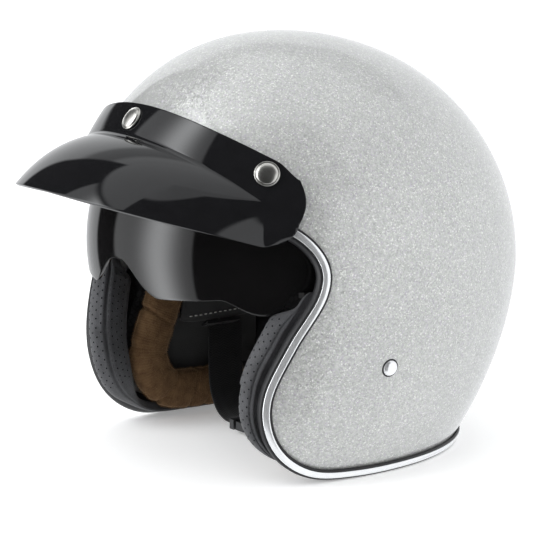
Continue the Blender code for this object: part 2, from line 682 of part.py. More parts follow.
# ------------------------------------------------------------------ strap rivets, hidden webbing
RIVET_PROFILE = [(-10.0, 0), (-10.0, 5.2), (-8.6, 5.2), (-8.6, 2.3), (0.4, 2.3), (0.4, RIVET_R),
                 (0.9, RIVET_R), (1.7, 3.8), (2.3, 2.0), (2.45, 0)]
for sx, tag in ((1, "left"), (-1, "right")):
    rp = on_shell((sx * 123.0, RIVET_Y, RIVET_Z))
    rn = outward(rp)
    along = np.array([-rn[2], 0, rn[0]]) * sx
    turned("strap_rivet_" + tag, rp, rn, RIVET_PROFILE, CHROME, 16)
    hidden = [rp - rn * 6.9 + along * 9, rp - rn * 6.9 - along * 7, (sx * 107, 0, 55),
              (sx * 94, 5, 54), (sx * 84, STRAP_Y, 57.5), (sx * 78.6, STRAP_Y, STRAP_PIVOT_Z)]
    anchor = ribbon("strap_anchor_" + tag, catmull(hidden, 4), STRAP_W, STRAP_T, WEB)
    boolean(shell, drill("rivet_" + tag, rp, rn, -12, 1.4, 2.7))
    boolean(anchor, drill("rivet_eye_" + tag, rp, rn, -12, 1.4, 2.7))

# ------------------------------------------------------------------ chin strap
strap_joint = joint_empty("chin_strap_hinge", (0, STRAP_Y, STRAP_PIVOT_Z))
TOP_X, BUCKLE_HI, BUCKLE_LO = 76.5, (67.0, 36.0), (33.0, 10.0)


def xz(x, z, y=0.0):
    """Point of the strap's middle line: it hangs further forward the lower it is."""
    return np.array([x, STRAP_Y + y - STRAP_LEAN * (STRAP_PIVOT_Z - z), z], float)


seg = xz(*BUCKLE_LO) - xz(*BUCKLE_HI)
seg_len = np.linalg.norm(seg)
seg /= seg_len
out = np.array([-seg[2], 0, seg[0]]) / math.hypot(seg[0], seg[2])
out = -out if out[2] > 0 else out                 # away from the wearer's chin
side = np.cross(seg, out)
side = side if side[1] > 0 else -side


def on_seg(s, m, y=0.0):
    """Point s mm down the buckle's straight, m mm outwards, y mm sideways."""
    return xz(*BUCKLE_HI) + seg * s + out * m + side * y


left_path = [xz(TOP_X, STRAP_PIVOT_Z - 2), xz(73.2, 49.5), xz(70.0, 41.5), on_seg(1.5, 0),
             on_seg(9.5, 0)]
ribbon("strap_left", left_path, STRAP_W, STRAP_T, WEB, joint=strap_joint)
right_path = [on_seg(seg_len - 3.0, 2.3), xz(29.5, 6.9), xz(22, 6.6), xz(0, 6.6), xz(-28, 6.6),
              xz(-37, 7.4), xz(-46, 10.8), xz(-54, 17.0), xz(-60, 24.0), xz(-65, 33.0),
              xz(-69.4, 42.0), xz(-73.0, 50.5), xz(-TOP_X, STRAP_PIVOT_Z - 2)]
ribbon("strap_right", right_path, STRAP_W, STRAP_T, WEB, joint=strap_joint)
low_y = xz(0, 6.6)[1]
bevel(box("chin_pad", (-10, low_y - 17, 7.9), (22, low_y + 17, 13.7), LEATHER,
          joint=strap_joint), 1.8)


def strap_loop(name, c, half_w, half_t, wall, depth, mat):
    """Rectangular ring round the webbing."""
    rect = lambda a, b: [(-a, -b), (a, -b), (a, b), (-a, b)]
    ob = plate(name, c, Y, Z, rect(half_w + wall, half_t + wall), depth, mat,
               joint=strap_joint)
    boolean(ob, plate("cut_" + name, c, Y, Z, rect(half_w, half_t), depth + 4, cutter=True,
                      joint=strap_joint))


strap_loop("strap_keeper", xz(-15.5, 6.6), 13.5, 1.25, 1.5, 8.0, RUBBER)
strap_loop("strap_slider", xz(-24.0, 6.6), 13.5, 1.35, 1.8, 4.4, PLASTIC)

# buckle: channel body, ratchet tongue, pin and lever
PIN_S, PIN_M = 12.0, 6.8
CHANNEL = [(-11.5, 1.3), (11.5, 1.3), (11.5, 8.6), (9.9, 8.6), (9.9, 2.5), (-9.9, 2.5),
           (-9.9, 8.6), (-11.5, 8.6)]
buckle = plate("buckle_body", on_seg(20, 0), side, out, CHANNEL, 29.0, NICKEL, joint=strap_joint)
boolean(buckle, turned("cut_pin_hole", on_seg(PIN_S, PIN_M, -14), side,
                       [(0, 0), (0, 1.5), (28, 1.5), (28, 0)], seg=12, cutter=True,
                       joint=strap_joint))
turned("buckle_pin", on_seg(PIN_S, PIN_M, -12.6), side,
       [(0, 0), (0, 2.2), (0.7, 2.2), (0.7, 1.2), (24.5, 1.2), (24.5, 2.2), (25.2, 2.2), (25.2, 0)],
       NICKEL, 12, joint=strap_joint)

teeth = []
for i in range(6):
    s = 17.0 + 2.75 * i
    teeth += [(s, 4.0), (s + 1.9, 4.7), (s + 2.0, 4.0)]
tongue = [(14.5, 2.85), (14.5, 4.0)] + teeth + [(seg_len - 1.0, 4.0), (seg_len - 1.0, 3.55),
                                                (seg_len - 5.0, 3.55), (seg_len - 5.4, 2.85)]
plate("ratchet_tongue", on_seg(0, 0), seg, out, tongue, 13.0, PLASTIC, joint=strap_joint)

pin_centre = on_seg(PIN_S, PIN_M)
lever_joint = joint_empty("buckle_lever_hinge", pin_centre)
lever_joint.parent = strap_joint
lever_joint.matrix_parent_inverse = Matrix.Translation(-strap_joint.location)
lever = turned("buckle_lever", pin_centre, side, [(-8.6, 1.6), (-8.6, 2.9), (8.6, 2.9), (8.6, 1.6)],
               PLASTIC, 16, joint=lever_joint)
ARM = [(0.0, 1.95), (0.0, 3.4), (24.0, 3.4), (28.0, 4.8), (29.0, 3.8), (25.0, 1.95)]
boolean(lever, plate("add_lever_arm", pin_centre, seg, out, ARM, 17.2, cutter=True,
                     joint=lever_joint), "UNION")
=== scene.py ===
import math

import bmesh
import bpy
import numpy as np
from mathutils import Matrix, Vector, noise

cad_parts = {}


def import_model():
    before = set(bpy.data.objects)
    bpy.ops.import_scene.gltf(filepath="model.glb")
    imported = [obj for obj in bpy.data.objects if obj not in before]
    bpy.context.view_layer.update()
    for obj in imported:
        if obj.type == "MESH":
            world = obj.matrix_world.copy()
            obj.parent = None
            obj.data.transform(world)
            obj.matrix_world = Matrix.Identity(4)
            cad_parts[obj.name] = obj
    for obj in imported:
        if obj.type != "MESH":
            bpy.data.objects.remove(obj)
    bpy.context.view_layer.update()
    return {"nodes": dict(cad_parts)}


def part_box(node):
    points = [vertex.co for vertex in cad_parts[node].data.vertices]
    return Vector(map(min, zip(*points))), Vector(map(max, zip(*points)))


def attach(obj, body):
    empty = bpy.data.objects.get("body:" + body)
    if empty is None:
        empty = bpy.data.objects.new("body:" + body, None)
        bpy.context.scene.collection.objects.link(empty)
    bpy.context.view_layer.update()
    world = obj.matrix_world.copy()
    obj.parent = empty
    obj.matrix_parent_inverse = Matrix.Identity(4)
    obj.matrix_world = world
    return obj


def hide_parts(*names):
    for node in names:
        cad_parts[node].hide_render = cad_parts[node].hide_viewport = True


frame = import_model()
MM = 0.001

# ------------------------------------------------------------------ driving dimensions (mm)
SHELL_HALF_WIDTH, SHELL_FRONT, SHELL_BACK = 125.0, 124.4, 156.6
SHELL_TOP, SHELL_WAIST, SHELL_WALL = 255.2, 112.5, 4.0
PLAN_N, UP_N, UP_FRONT_N = 2.135, 2.008, 2.147
TUCK_SIDE, TUCK_SIDE_N, TUCK_BACK, TUCK_BACK_N = 0.225, 2.328, 0.290, 1.649
EDGE = [(-87, 163.5), (-63.5, 152.5), (-50, 136), (-50.5, 117), (-65.5, 88.5), (-75.3, 60),
        (-73.6, 38), (-62.5, 19.5), (-42, 7.2), (-12, 4.1), (30, 4.0)]
BROW_Z, BOTTOM_Z = 168.0, 4.0
PEAK_WALL, PEAK_GAP = 2.0, 4.6
BRIM_HALF_WIDTH, BRIM_REACH, BRIM_CENTRE_Y = 105.0, 103.5, -61.5
BRIM_Z, BRIM_DROP = 172.8, 27.2
VISOR_Y, VISOR_Z, VISOR_R = -5.5, 127.0, 109.5
VISOR_HALF_WIDTH, VISOR_N, VISOR_WALL = 110.0, 2.2, 2.0
VISOR_LOW, VISOR_HIGH = -10.5, 29.5
SNAP_R = 7.4
RIVET_Y, RIVET_Z, RIVET_R = -6.2, 69.6, 4.7
STRAP_Y, STRAP_LEAN, STRAP_PIVOT_Z = 13.0, 0.30, 60.0
STRAP_W, STRAP_T = 26.0, 1.8
HEAD_HALF, HEAD_FRONT, HEAD_BACK, HEAD_TOP = 86.0, 84.0, 122.0, 217.0
CENTRE_Y = -4.20


def world(p):
    """Design point in mm to metres in the object's frame."""
    return Vector((p[0] * MM, (p[1] - CENTRE_Y) * MM, p[2] * MM))


def direction(azimuth, elevation):
    """Unit vector towards a bearing from the front and a height, both in degrees."""
    a, e = math.radians(azimuth), math.radians(elevation)
    return Vector((math.sin(a) * math.cos(e), -math.cos(a) * math.cos(e), math.sin(e)))


def ease(t):
    t = min(1.0, max(0.0, t))
    return t * t * (3 - 2 * t)


def spow(v, e):
    return math.copysign(abs(v) ** e, v)


def bell(t, width):
    """Smooth bump of height 1 at t = 0."""
    return math.exp(-(t / width) ** 2)


def catmull(pts, n, closed=False):
    """Points of a smooth curve through pts, n per span."""
    p = [np.array(q, float) for q in pts]
    if closed:
        p = [p[-1]] + p + [p[0], p[1]]
    else:
        p = [2 * p[0] - p[1]] + p + [2 * p[-1] - p[-2]]
    out = []
    for a, b, c, d in zip(p, p[1:], p[2:], p[3:]):
        for k in range(n):
            t = k / n
            out.append(0.5 * (2 * b + (c - a) * t + (2 * a - 5 * b + 4 * c - d) * t * t
                              + (3 * b - a - 3 * c + d) * t ** 3))
    if not closed:
        out.append(p[-2])
    return out


def resample(pts, n):
    """n + 1 points evenly spaced along a polyline."""
    pts = np.array(pts)
    d = np.concatenate([[0], np.cumsum(np.linalg.norm(np.diff(pts, axis=0), axis=1))])
    s = np.linspace(0, d[-1], n + 1)
    return np.stack([np.interp(s, d, pts[:, k]) for k in range(pts.shape[1])], axis=1)


# ------------------------------------------------------------------ shader maths
class Wire:
    """A node output that can be used in expressions."""

    def __init__(self, finish, socket):
        self.finish, self.socket = finish, socket

    def maths(self, operation, *others):
        return self.finish.node("ShaderNodeMath", {"operation": operation}, self, *others)

    def __add__(self, o):
        return self.maths("ADD", o)

    def __sub__(self, o):
        return self.maths("SUBTRACT", o)

    def __rsub__(self, o):
        return self.finish.node("ShaderNodeMath", {"operation": "SUBTRACT"}, o, self)

    def __mul__(self, o):
        return self.maths("MULTIPLY", o)

    def __pow__(self, o):
        return self.maths("POWER", o)

    __radd__, __rmul__ = __add__, __mul__

    def above(self, limit):
        return self.maths("GREATER_THAN", limit)

    def sine(self):
        return self.maths("SINE")

    def size(self):
        return self.maths("ABSOLUTE")

    def fraction(self):
        return self.maths("FRACT")

    def between(self, low, high, to_low=0.0, to_high=1.0):
        """Smooth step from low to high."""
        return self.finish.node("ShaderNodeMapRange", {"interpolation_type": "SMOOTHSTEP"},
                                self, low, high, to_low, to_high)


class Nodes:
    """A node tree whose nodes are added by expressions."""

    def __init__(self, tree):
        self.tree = tree

    def _plug(self, socket, value):
        if isinstance(value, Wire):
            self.tree.links.new(value.socket, socket)
        elif isinstance(value, tuple) and len(value) == 3 and socket.type == "RGBA":
            socket.default_value = (*value, 1.0)
        else:
            socket.default_value = value

    def node(self, kind, settings=None, *inputs, out=0, **named):
        n = self.tree.nodes.new(kind)
        for key, value in (settings or {}).items():
            if key == "stops":
                ramp = n.color_ramp
                while len(ramp.elements) < len(value):
                    ramp.elements.new(0.5)
                for e, (place, colour) in zip(ramp.elements, value):
                    e.position = place
                    e.color = (*colour, 1.0)
            else:
                setattr(n, key, value)
        live = [s for s in n.inputs if s.enabled]
        for socket, value in zip(live, inputs):
            if value is not None:
                self._plug(socket, value)
        for key, value in named.items():
            self._plug(next(s for s in live if s.name == key.replace("_", " ")), value)
        outs = [s for s in n.outputs if s.enabled]
        pick = outs[out] if isinstance(out, int) else next(s for s in outs if s.name == out)
        return Wire(self, pick)


class Finish(Nodes):
    """A material and the patterns it is made from."""

    def __init__(self, name, **constants):
        self.material = bpy.data.materials.new(name)
        self.material.use_nodes = True
        super().__init__(self.material.node_tree)
        self.shader = self.tree.nodes["Principled BSDF"]
        self.set(**constants)

    def set(self, **values):
        """Set the shader's inputs: constants, colours or wires; _ stands for a space."""
        for key, value in values.items():
            self._plug(self.shader.inputs[key.replace("_", " ")], value)
        return self

    def place(self):
        return self.node("ShaderNodeTexCoord", out="Object")

    def cloth_map(self):
        """(along, across) in mm from the piece's own UV map."""
        uv = self.node("ShaderNodeUVMap", {"uv_map": "cloth"})
        return (self.node("ShaderNodeSeparateXYZ", None, uv, out="X"),
                self.node("ShaderNodeSeparateXYZ", None, uv, out="Y"))

    def clouds(self, size, detail=2.0, rough=0.5, where=None, out="Fac"):
        """Noise whose blotches are about size mm across."""
        return self.node("ShaderNodeTexNoise", {"noise_dimensions": "3D"}, out=out,
                         Vector=where or self.place(), Scale=1.0 / (size * MM), Detail=detail,
                         Roughness=rough)

    def cells(self, size, feature="F1", out="Distance", where=None, spread=1.0):
        return self.node("ShaderNodeTexVoronoi", {"feature": feature}, out=out,
                         Vector=where or self.place(), Scale=1.0 / (size * MM),
                         Randomness=spread)

    def stretch(self, x, y, z):
        return self.node("ShaderNodeMapping", None, self.place(), Scale=(x, y, z))

    def mix(self, amount, a, b, blend="MIX"):
        return self.node("ShaderNodeMix", {"data_type": "RGBA", "blend_type": blend}, amount, a, b)

    def relief(self, height, depth, strength=1.0, normal=None):
        """Bump of a height that runs 0 to 1, depth mm deep."""
        named = {"Height": height, "Strength": strength, "Distance": depth * MM}
        if normal is not None:
            named["Normal"] = normal
        return self.node("ShaderNodeBump", None, **named)


# ------------------------------------------------------------------ finishes
def silver_flake():
    f = Finish("silver_flake", Metallic=0.28, Coat_Roughness=0.02, Coat_Weight=1.0)
    coarse = f.cells(1.05, out="Color")
    fine = f.cells(0.62, out="Color")
    tone = f.node("ShaderNodeSeparateColor", None, coarse, out="Red")
    spark = f.node("ShaderNodeSeparateColor", None, fine, out="Green")
    tint = f.node("ShaderNodeSeparateColor", None, fine, out="Blue")
    drift = f.clouds(60.0, 1.0)
    # Random flake tone, plus painted sparkle: flakes above 0.93 get a glint painted into the base
    # colour
    light = tone * 0.30 + spark * 0.30 + spark.above(0.93) * 0.45 + drift * 0.16 + 0.02
    body = f.mix(light, (0.265, 0.27, 0.265), (0.70, 0.71, 0.685))
    body = f.mix(tint.above(0.84) * 0.34, body, (0.46, 0.38, 0.54))
    body = f.mix(tint.above(0.70) * (1 - tint.above(0.84)) * 0.24, body, (0.50, 0.58, 0.47))
    lean = f.node("ShaderNodeVectorMath", {"operation": "SUBTRACT"}, coarse, (0.5, 0.5, 0.5))
    lean = f.node("ShaderNodeVectorMath", {"operation": "MULTIPLY"}, lean, (0.30, 0.30, 0.30))
    facing = f.node("ShaderNodeNewGeometry", out="Normal")
    facing = f.node("ShaderNodeVectorMath", {"operation": "ADD"}, facing, lean)
    facing = f.node("ShaderNodeVectorMath", {"operation": "NORMALIZE"}, facing)
    return f.set(Base_Color=body, Roughness=0.34 + spark * 0.16, Normal=facing)


def gloss_black():
    f = Finish("gloss_black", Specular_IOR_Level=0.5)
    film = f.clouds(9.0, 5.0, 0.6)
    hair = f.clouds(0.9, 2.0, where=f.stretch(1.0, 9.0, 1.0))
    body = f.mix(film, (0.0045, 0.0045, 0.005), (0.009, 0.009, 0.010))
    return f.set(Base_Color=body, Roughness=0.035 + film * 0.03 + hair.between(0.62, 0.8) * 0.03,
                 Normal=f.relief(film, 0.01, 0.3))


def smoked_lens():
    f = Finish("smoked_lens", IOR=1.5)
    film = f.clouds(14.0, 4.0, 0.55)
    body = f.mix(film, (0.0026, 0.0025, 0.0026), (0.0050, 0.0046, 0.0048))
    return f.set(Base_Color=body, Roughness=0.035 + film * 0.03, Alpha=0.95 + film * 0.04)


def black_rubber():
    f = Finish("black_rubber", Specular_IOR_Level=0.4)
    skin = f.clouds(0.5, 3.0, 0.65)
    wear = f.clouds(16.0, 3.0)
    body = f.mix(wear, (0.008, 0.008, 0.009), (0.019, 0.019, 0.021))
    return f.set(Base_Color=body, Roughness=0.38 + wear * 0.20, Normal=f.relief(skin, 0.03, 0.5))


def bright_chrome():
    f = Finish("bright_chrome", Metallic=0.72)
    film = f.clouds(5.0, 4.0)
    body = f.mix(film, (0.80, 0.81, 0.83), (0.90, 0.91, 0.92))
    return f.set(Base_Color=body, Roughness=0.10 + film * 0.10, Normal=f.relief(film, 0.02, 0.4))


def satin_nickel():
    f = Finish("satin_nickel", Metallic=1.0)
    grain = f.clouds(0.35, 3.0, 0.6, where=f.stretch(1.0, 1.0, 7.0))
    smudge = f.clouds(4.0, 3.0)
    body = f.mix(smudge, (0.50, 0.49, 0.46), (0.68, 0.67, 0.64))
    return f.set(Base_Color=body, Roughness=0.20 + grain * 0.14 + smudge * 0.06,
                 Normal=f.relief(grain, 0.012, 0.5))


def leatherette(name, dark, light):
    f = Finish(name, Sheen_Weight=0.10, Sheen_Roughness=0.5, Specular_IOR_Level=0.35)
    pebble = f.cells(0.75, "DISTANCE_TO_EDGE").between(0.0, 0.22)
    pores = f.clouds(0.28, 3.0, 0.6)
    wear = f.clouds(22.0, 4.0, 0.6)
    body = f.mix(wear.between(0.3, 0.75), dark, light)
    # Painted shade: the grain's crevices are darkened towards the pebble edges
    body = f.mix((1 - pebble) * 0.5, body, tuple(0.45 * c for c in dark))
    return f.set(Base_Color=body, Roughness=0.46 + wear * 0.16 + pores * 0.08,
                 Normal=f.relief(pebble * 0.8 + pores * 0.35, 0.10, 0.7))


def suede_plush():
    f = Finish("brown_plush", Sheen_Weight=0.85, Sheen_Roughness=0.32,
               Sheen_Tint=(0.80, 0.56, 0.34), Specular_IOR_Level=0.12)
    along, _ = f.cloth_map()
    nap = f.clouds(5.5, 5.0, 0.62)
    tuft = f.clouds(0.55, 3.0, 0.7)
    rib = (along * (2 * math.pi / 1.5)).sine() * 0.5 + 0.5
    body = f.mix(nap.between(0.30, 0.72), (0.064, 0.031, 0.013), (0.158, 0.092, 0.044))
    body = f.mix(tuft * 0.45, body, (0.225, 0.145, 0.080))
    # Painted shade in the grooves between the ribs
    body = f.mix((1 - rib) * 0.18, body, (0.032, 0.016, 0.007))
    return f.set(Base_Color=body, Roughness=0.88 + tuft * 0.1,
                 Normal=f.relief(tuft * 0.6 + rib * 0.3 + nap * 0.3, 0.35, 0.8))


def plush_fibre():
    f = Finish("plush_fibre", Sheen_Weight=0.4, Sheen_Tint=(0.65, 0.42, 0.24),
               Specular_IOR_Level=0.15)
    nap = f.clouds(3.0, 3.0)
    return f.set(Base_Color=f.mix(nap, (0.095, 0.050, 0.023), (0.260, 0.165, 0.090)),
                 Roughness=0.80 + nap * 0.15)


def brushed_knit(name, dark, light):
    f = Finish(name, Sheen_Weight=0.25, Sheen_Roughness=0.4, Specular_IOR_Level=0.15)
    loops = f.cells(0.95, "F1", spread=0.35)
    fuzz = f.clouds(0.4, 4.0, 0.7)
    worn = f.clouds(25.0, 3.0)
    body = f.mix(worn * 0.6 + fuzz * 0.4, dark, light)
    return f.set(Base_Color=body, Roughness=0.85 + fuzz * 0.12,
                 Normal=f.relief((1 - loops) * 0.7 + fuzz * 0.4, 0.22, 0.8))


def black_webbing():
    f = Finish("black_webbing", Sheen_Weight=0.2, Sheen_Roughness=0.4, Specular_IOR_Level=0.25)
    along, across = f.cloth_map()
    zig = (across * (1 / 6.5)).fraction() - 0.5
    rib = ((along + zig.size() * 4.0) * (2 * math.pi / 1.7)).sine() * 0.5 + 0.5
    yarn = (across * (2 * math.pi / 0.85)).sine() * 0.5 + 0.5
    fuzz = f.clouds(0.35, 3.0, 0.7)
    worn = f.clouds(9.0, 3.0)
    # Painted shade: weave ridges lighter and grooves darker; worn adds random tone
    body = f.mix(rib * 0.55 + yarn * 0.2 + worn * 0.25, (0.0045, 0.0045, 0.005),
                 (0.026, 0.026, 0.028))
    return f.set(Base_Color=body, Roughness=0.72 + fuzz * 0.2,
                 Normal=f.relief(rib * 0.6 + yarn * 0.3 + fuzz * 0.2, 0.20, 0.9))


def moulded_plastic():
    f = Finish("moulded_plastic", Specular_IOR_Level=0.45)
    grain = f.clouds(0.45, 3.0, 0.6)
    worn = f.clouds(7.0, 3.0)
    body = f.mix(worn, (0.010, 0.010, 0.011), (0.024, 0.024, 0.026))
    return f.set(Base_Color=body, Roughness=0.38 + worn * 0.15, Normal=f.relief(grain, 0.05, 0.6))


def bead_foam():
    f = Finish("bead_foam", Specular_IOR_Level=0.3)
    beads = f.cells(3.2, "DISTANCE_TO_EDGE").between(0.0, 0.16)
    tone = f.cells(3.2, out="Color")
    tone = f.node("ShaderNodeSeparateColor", None, tone, out="Red")
    body = f.mix(tone, (0.012, 0.012, 0.013), (0.030, 0.030, 0.032))
    # Painted shade in the gaps between the beads
    body = f.mix((1 - beads) * 0.6, body, (0.005, 0.005, 0.005))
    return f.set(Base_Color=body, Roughness=0.62 + tone * 0.2, Normal=f.relief(beads, 0.25, 0.8))


def sewing_thread(name, dark, light):
    f = Finish(name, Specular_IOR_Level=0.3, Sheen_Weight=0.2)
    twist = f.clouds(0.22, 2.0)
    return f.set(Base_Color=f.mix(twist, dark, light), Roughness=0.65 + twist * 0.2)


def hole_painted_shade():
    f = Finish("hole_painted_shade", Specular_IOR_Level=0.1)
    dust = f.clouds(0.5, 2.0)
    # Near-black disc set in each perforation: the dark inside of the hole is painted shade
    return f.set(Base_Color=f.mix(dust, (0.0012, 0.0012, 0.0014), (0.005, 0.005, 0.006)),
                 Roughness=0.8 + dust * 0.15)


PAINT, BLACK, LENS = silver_flake().material, gloss_black().material, smoked_lens().material
RUBBER, CHROME, NICKEL = black_rubber().material, bright_chrome().material, satin_nickel().material
LEATHER = leatherette("charcoal_leatherette", (0.050, 0.051, 0.055), (0.088, 0.089, 0.096)).material
PLUSH, FIBRE = suede_plush().material, plush_fibre().material
KNIT = brushed_knit("black_knit", (0.020, 0.020, 0.020), (0.056, 0.056, 0.057)).material
WEBBING, PLASTIC, FOAM = black_webbing().material, moulded_plastic().material, bead_foam().material
THREAD = sewing_thread("white_thread", (0.50, 0.50, 0.48), (0.80, 0.80, 0.77)).material
DARK_THREAD = sewing_thread("dark_thread", (0.012, 0.012, 0.013), (0.04, 0.04, 0.043)).material
HOLE = hole_painted_shade().material


# ------------------------------------------------------------------ meshes
def mesh_of(bm, name):
    mesh = bpy.data.meshes.new(name)
    bm.to_mesh(mesh)
    bm.free()
    return mesh


def new_object(name, mesh, *materials):
    ob = bpy.data.objects.new(name, mesh)
    bpy.context.scene.collection.objects.link(ob)
    for m in materials:
        mesh.materials.append(m)
    return ob


def grid(name, rows, material, ring=False, loop=False, caps=False, uv=None, smooth=40.0):
    """Mesh through rows of design points; ring closes each row, loop joins last row to first."""
    rows = [list(r) for r in rows]
    n, m = len(rows), len(rows[0])
    bm = bmesh.new()
    layer = bm.loops.layers.uv.new("cloth") if uv is not None else None
    verts = [[bm.verts.new(world(p)) for p in r] for r in rows]
    for i in range(n if loop else n - 1):
        for j in range(m if ring else m - 1):
            corner = [(i, j), (i, j + 1), (i + 1, j + 1), (i + 1, j)]
            face = bm.faces.new([verts[a % n][b % m] for a, b in corner])
            if layer:
                for lp, (a, b) in zip(face.loops, corner):
                    lp[layer].uv = (uv[0][a], uv[1][b])
    if caps:
        bm.faces.new(verts[0][::-1])
        bm.faces.new(verts[-1])
    if caps or loop:
        bmesh.ops.recalc_face_normals(bm, faces=bm.faces)
    mesh = mesh_of(bm, name)
    mesh.shade_smooth()
    mesh.set_sharp_from_angle(angle=math.radians(smooth))
    return new_object(name, mesh, material)


def lengths(points):
    """Running length along points, from 0."""
    p = np.array(points)
    return np.concatenate([[0], np.cumsum(np.linalg.norm(np.diff(p, axis=0), axis=1))])


def girth(rows):
    """Running length round the middle row of a closed piece."""
    middle = rows[len(rows) // 2]
    return lengths(middle + middle[:1])


def loft(name, frames, profiles, material, loop=False, **kw):
    """Closed outlines (a, b) standing on frames (point, ea, eb)."""
    rows = [[np.array(p) + np.array(ea) * a + np.array(eb) * b for a, b in prof]
            for (p, ea, eb), prof in zip(frames, profiles)]
    along = list(lengths([f[0] for f in frames])) + [0.0]
    return grid(name, rows, material, ring=True, loop=loop, caps=not loop, uv=(along, girth(rows)),
                **kw)


def thicken(ob, thick, offset=-1.0, even=True):
    m = ob.modifiers.new("wall", "SOLIDIFY")
    m.thickness, m.offset, m.use_even_offset = thick * MM, offset, even
    return ob


def round_edges(ob, width, segments=3, angle=40):
    m = ob.modifiers.new("round", "BEVEL")
    m.width, m.segments, m.limit_method = width * MM, segments, "ANGLE"
    m.angle_limit = math.radians(angle)
    return ob


def cut(ob, cutter):
    m = ob.modifiers.new("cut", "BOOLEAN")
    m.operation, m.solver, m.object = "DIFFERENCE", "EXACT", cutter


def settle(ob, sharp=None):
    """Turn an object with its modifiers into a plain mesh."""
    bpy.context.view_layer.update()
    evaluated = ob.evaluated_get(bpy.context.evaluated_depsgraph_get())
    mesh = bpy.data.meshes.new_from_object(evaluated)
    mesh.name = ob.name
    ob.modifiers.clear()
    ob.data = mesh
    if sharp is not None:
        mesh.shade_smooth()
        mesh.set_sharp_from_angle(angle=math.radians(sharp))
    return ob


def remove(*objects):
    for ob in objects:
        bpy.data.objects.remove(ob)


def finish_piece(ob, body, replaces=()):
    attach(ob, body)
    if replaces:
        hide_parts(*replaces)
    return ob


def turned(name, origin, axis, profile, material, seg=64, smooth=40.0):
    """Profile of (height, radius) pairs turned about an axis."""
    turn = Vector(axis).to_track_quat("Z", "Y")
    rows = []
    for h, r in profile:
        rows.append([np.array(origin) + np.array(turn @ Vector((
            r * math.cos(2 * math.pi * k / seg), r * math.sin(2 * math.pi * k / seg), h)))
            for k in range(seg)])
    ob = grid(name, rows, material, ring=True, caps=True, smooth=smooth)
    bm = bmesh.new()
    bm.from_mesh(ob.data)
    bmesh.ops.remove_doubles(bm, verts=bm.verts, dist=1e-7)
    bmesh.ops.recalc_face_normals(bm, faces=bm.faces)
    bm.to_mesh(ob.data)
    bm.free()
    return ob


# ------------------------------------------------------------------ shell surface
def level(z, off=0.0):
    """Half width, front reach and back reach of the shell at a height, moved out by off."""
    top = SHELL_TOP + off
    if z >= SHELL_WAIST:
        u = min(1.0, (z - SHELL_WAIST) / (top - SHELL_WAIST))
        s = max(0.0, 1 - u ** UP_N) ** (1 / UP_N)
        sf = max(0.0, 1 - u ** UP_FRONT_N) ** (1 / UP_FRONT_N)
        return (SHELL_HALF_WIDTH + off) * s, (SHELL_FRONT + off) * sf, (SHELL_BACK + off) * s
    w = (SHELL_WAIST - z) / SHELL_WAIST
    return ((SHELL_HALF_WIDTH + off) * (1 - TUCK_SIDE * w ** TUCK_SIDE_N), SHELL_FRONT + off,
            (SHELL_BACK + off) * (1 - TUCK_BACK * w ** TUCK_BACK_N))


def at(th, z, off=0.0):
    """Point of the shell surface: th = -90 deg is the front, 0 the left, 90 the back."""
    a, yf, yb = level(z, off)
    s, c = math.sin(th), math.cos(th)
    return np.array([a * spow(c, 2 / PLAN_N), (yb if s > 0 else yf) * spow(s, 2 / PLAN_N), z])


def angle_of(y, z):
    """Angle round the shell at which its surface has depth y at height z."""
    _, yf, yb = level(z)
    reach = yb if y > 0 else yf
    return math.asin(spow(min(1.0, abs(y) / reach), PLAN_N / 2) * (1 if y > 0 else -1))


def shell_share(q):
    """1 on the shell surface, more outside it."""
    a, yf, yb = level(min(q[2], SHELL_TOP - 0.5))
    return (abs(q[0]) / a) ** PLAN_N + (abs(q[1]) / (yb if q[1] > 0 else yf)) ** PLAN_N


def outward(p):
    """Unit normal of the shell surface at a point near it."""
    step = np.eye(3) * 0.05
    g = np.array([shell_share(p + d) - shell_share(p - d) for d in step])
    return g / np.linalg.norm(g)


def on_shell(p):
    """Move a nearby point onto the shell surface along the normal."""
    p = np.array(p, float)
    for _ in range(30):
        n = outward(p)
        slope = (shell_share(p + n * 0.05) - shell_share(p)) / 0.05
        p = p - n * (shell_share(p) - 1) / slope * 0.9
    return p


edge_nodes = [(-math.pi / 2, BROW_Z)] + [(angle_of(y, z), z) for y, z in EDGE] + [
    (math.radians(50), BOTTOM_Z), (math.pi / 2, BOTTOM_Z)]


def edge_loop(n):
    """Closed loop of frames (point, towards the opening, outward) along the cut edge."""
    half = resample([at(a, z) for a, z in catmull(edge_nodes, 60)], n)
    pts = list(half) + [p * np.array([-1, 1, 1]) for p in half[-2:0:-1]]
    m = len(pts)
    frames = []
    for i in range(m):
        p = pts[i]
        t = pts[(i + 1) % m] - pts[i - 1]
        t /= np.linalg.norm(t)
        nrm = outward(p)
        nrm = nrm - t * np.dot(nrm, t)
        nrm /= np.linalg.norm(nrm)
        frames.append((p, np.cross(nrm, t), nrm))
    if frames[0][1][2] > 0:
        frames = [(p, -b, nrm) for p, b, nrm in frames]
    return frames


def dome(name, point, seg, up, down, material):
    """Cap of rings: point(angle, rise) with rise from -1 at the bottom to 1 at the crown."""
    rises = [-1 + k / down for k in range(down)] + [math.sin(k / up * math.pi / 2) for k in range(up)]
    rows = [[point(2 * math.pi * j / seg, r) for j in range(seg)] for r in rises]
    bm = bmesh.new()
    verts = [[bm.verts.new(world(p)) for p in row] for row in rows]
    top = bm.verts.new(world(point(0.0, 1.0)))
    for a, b in zip(verts, verts[1:]):
        for j in range(seg):
            bm.faces.new((a[j], a[(j + 1) % seg], b[(j + 1) % seg], b[j]))
    for j in range(seg):
        bm.faces.new((verts[-1][j], verts[-1][(j + 1) % seg], top))
    return new_object(name, mesh_of(bm, name), material)


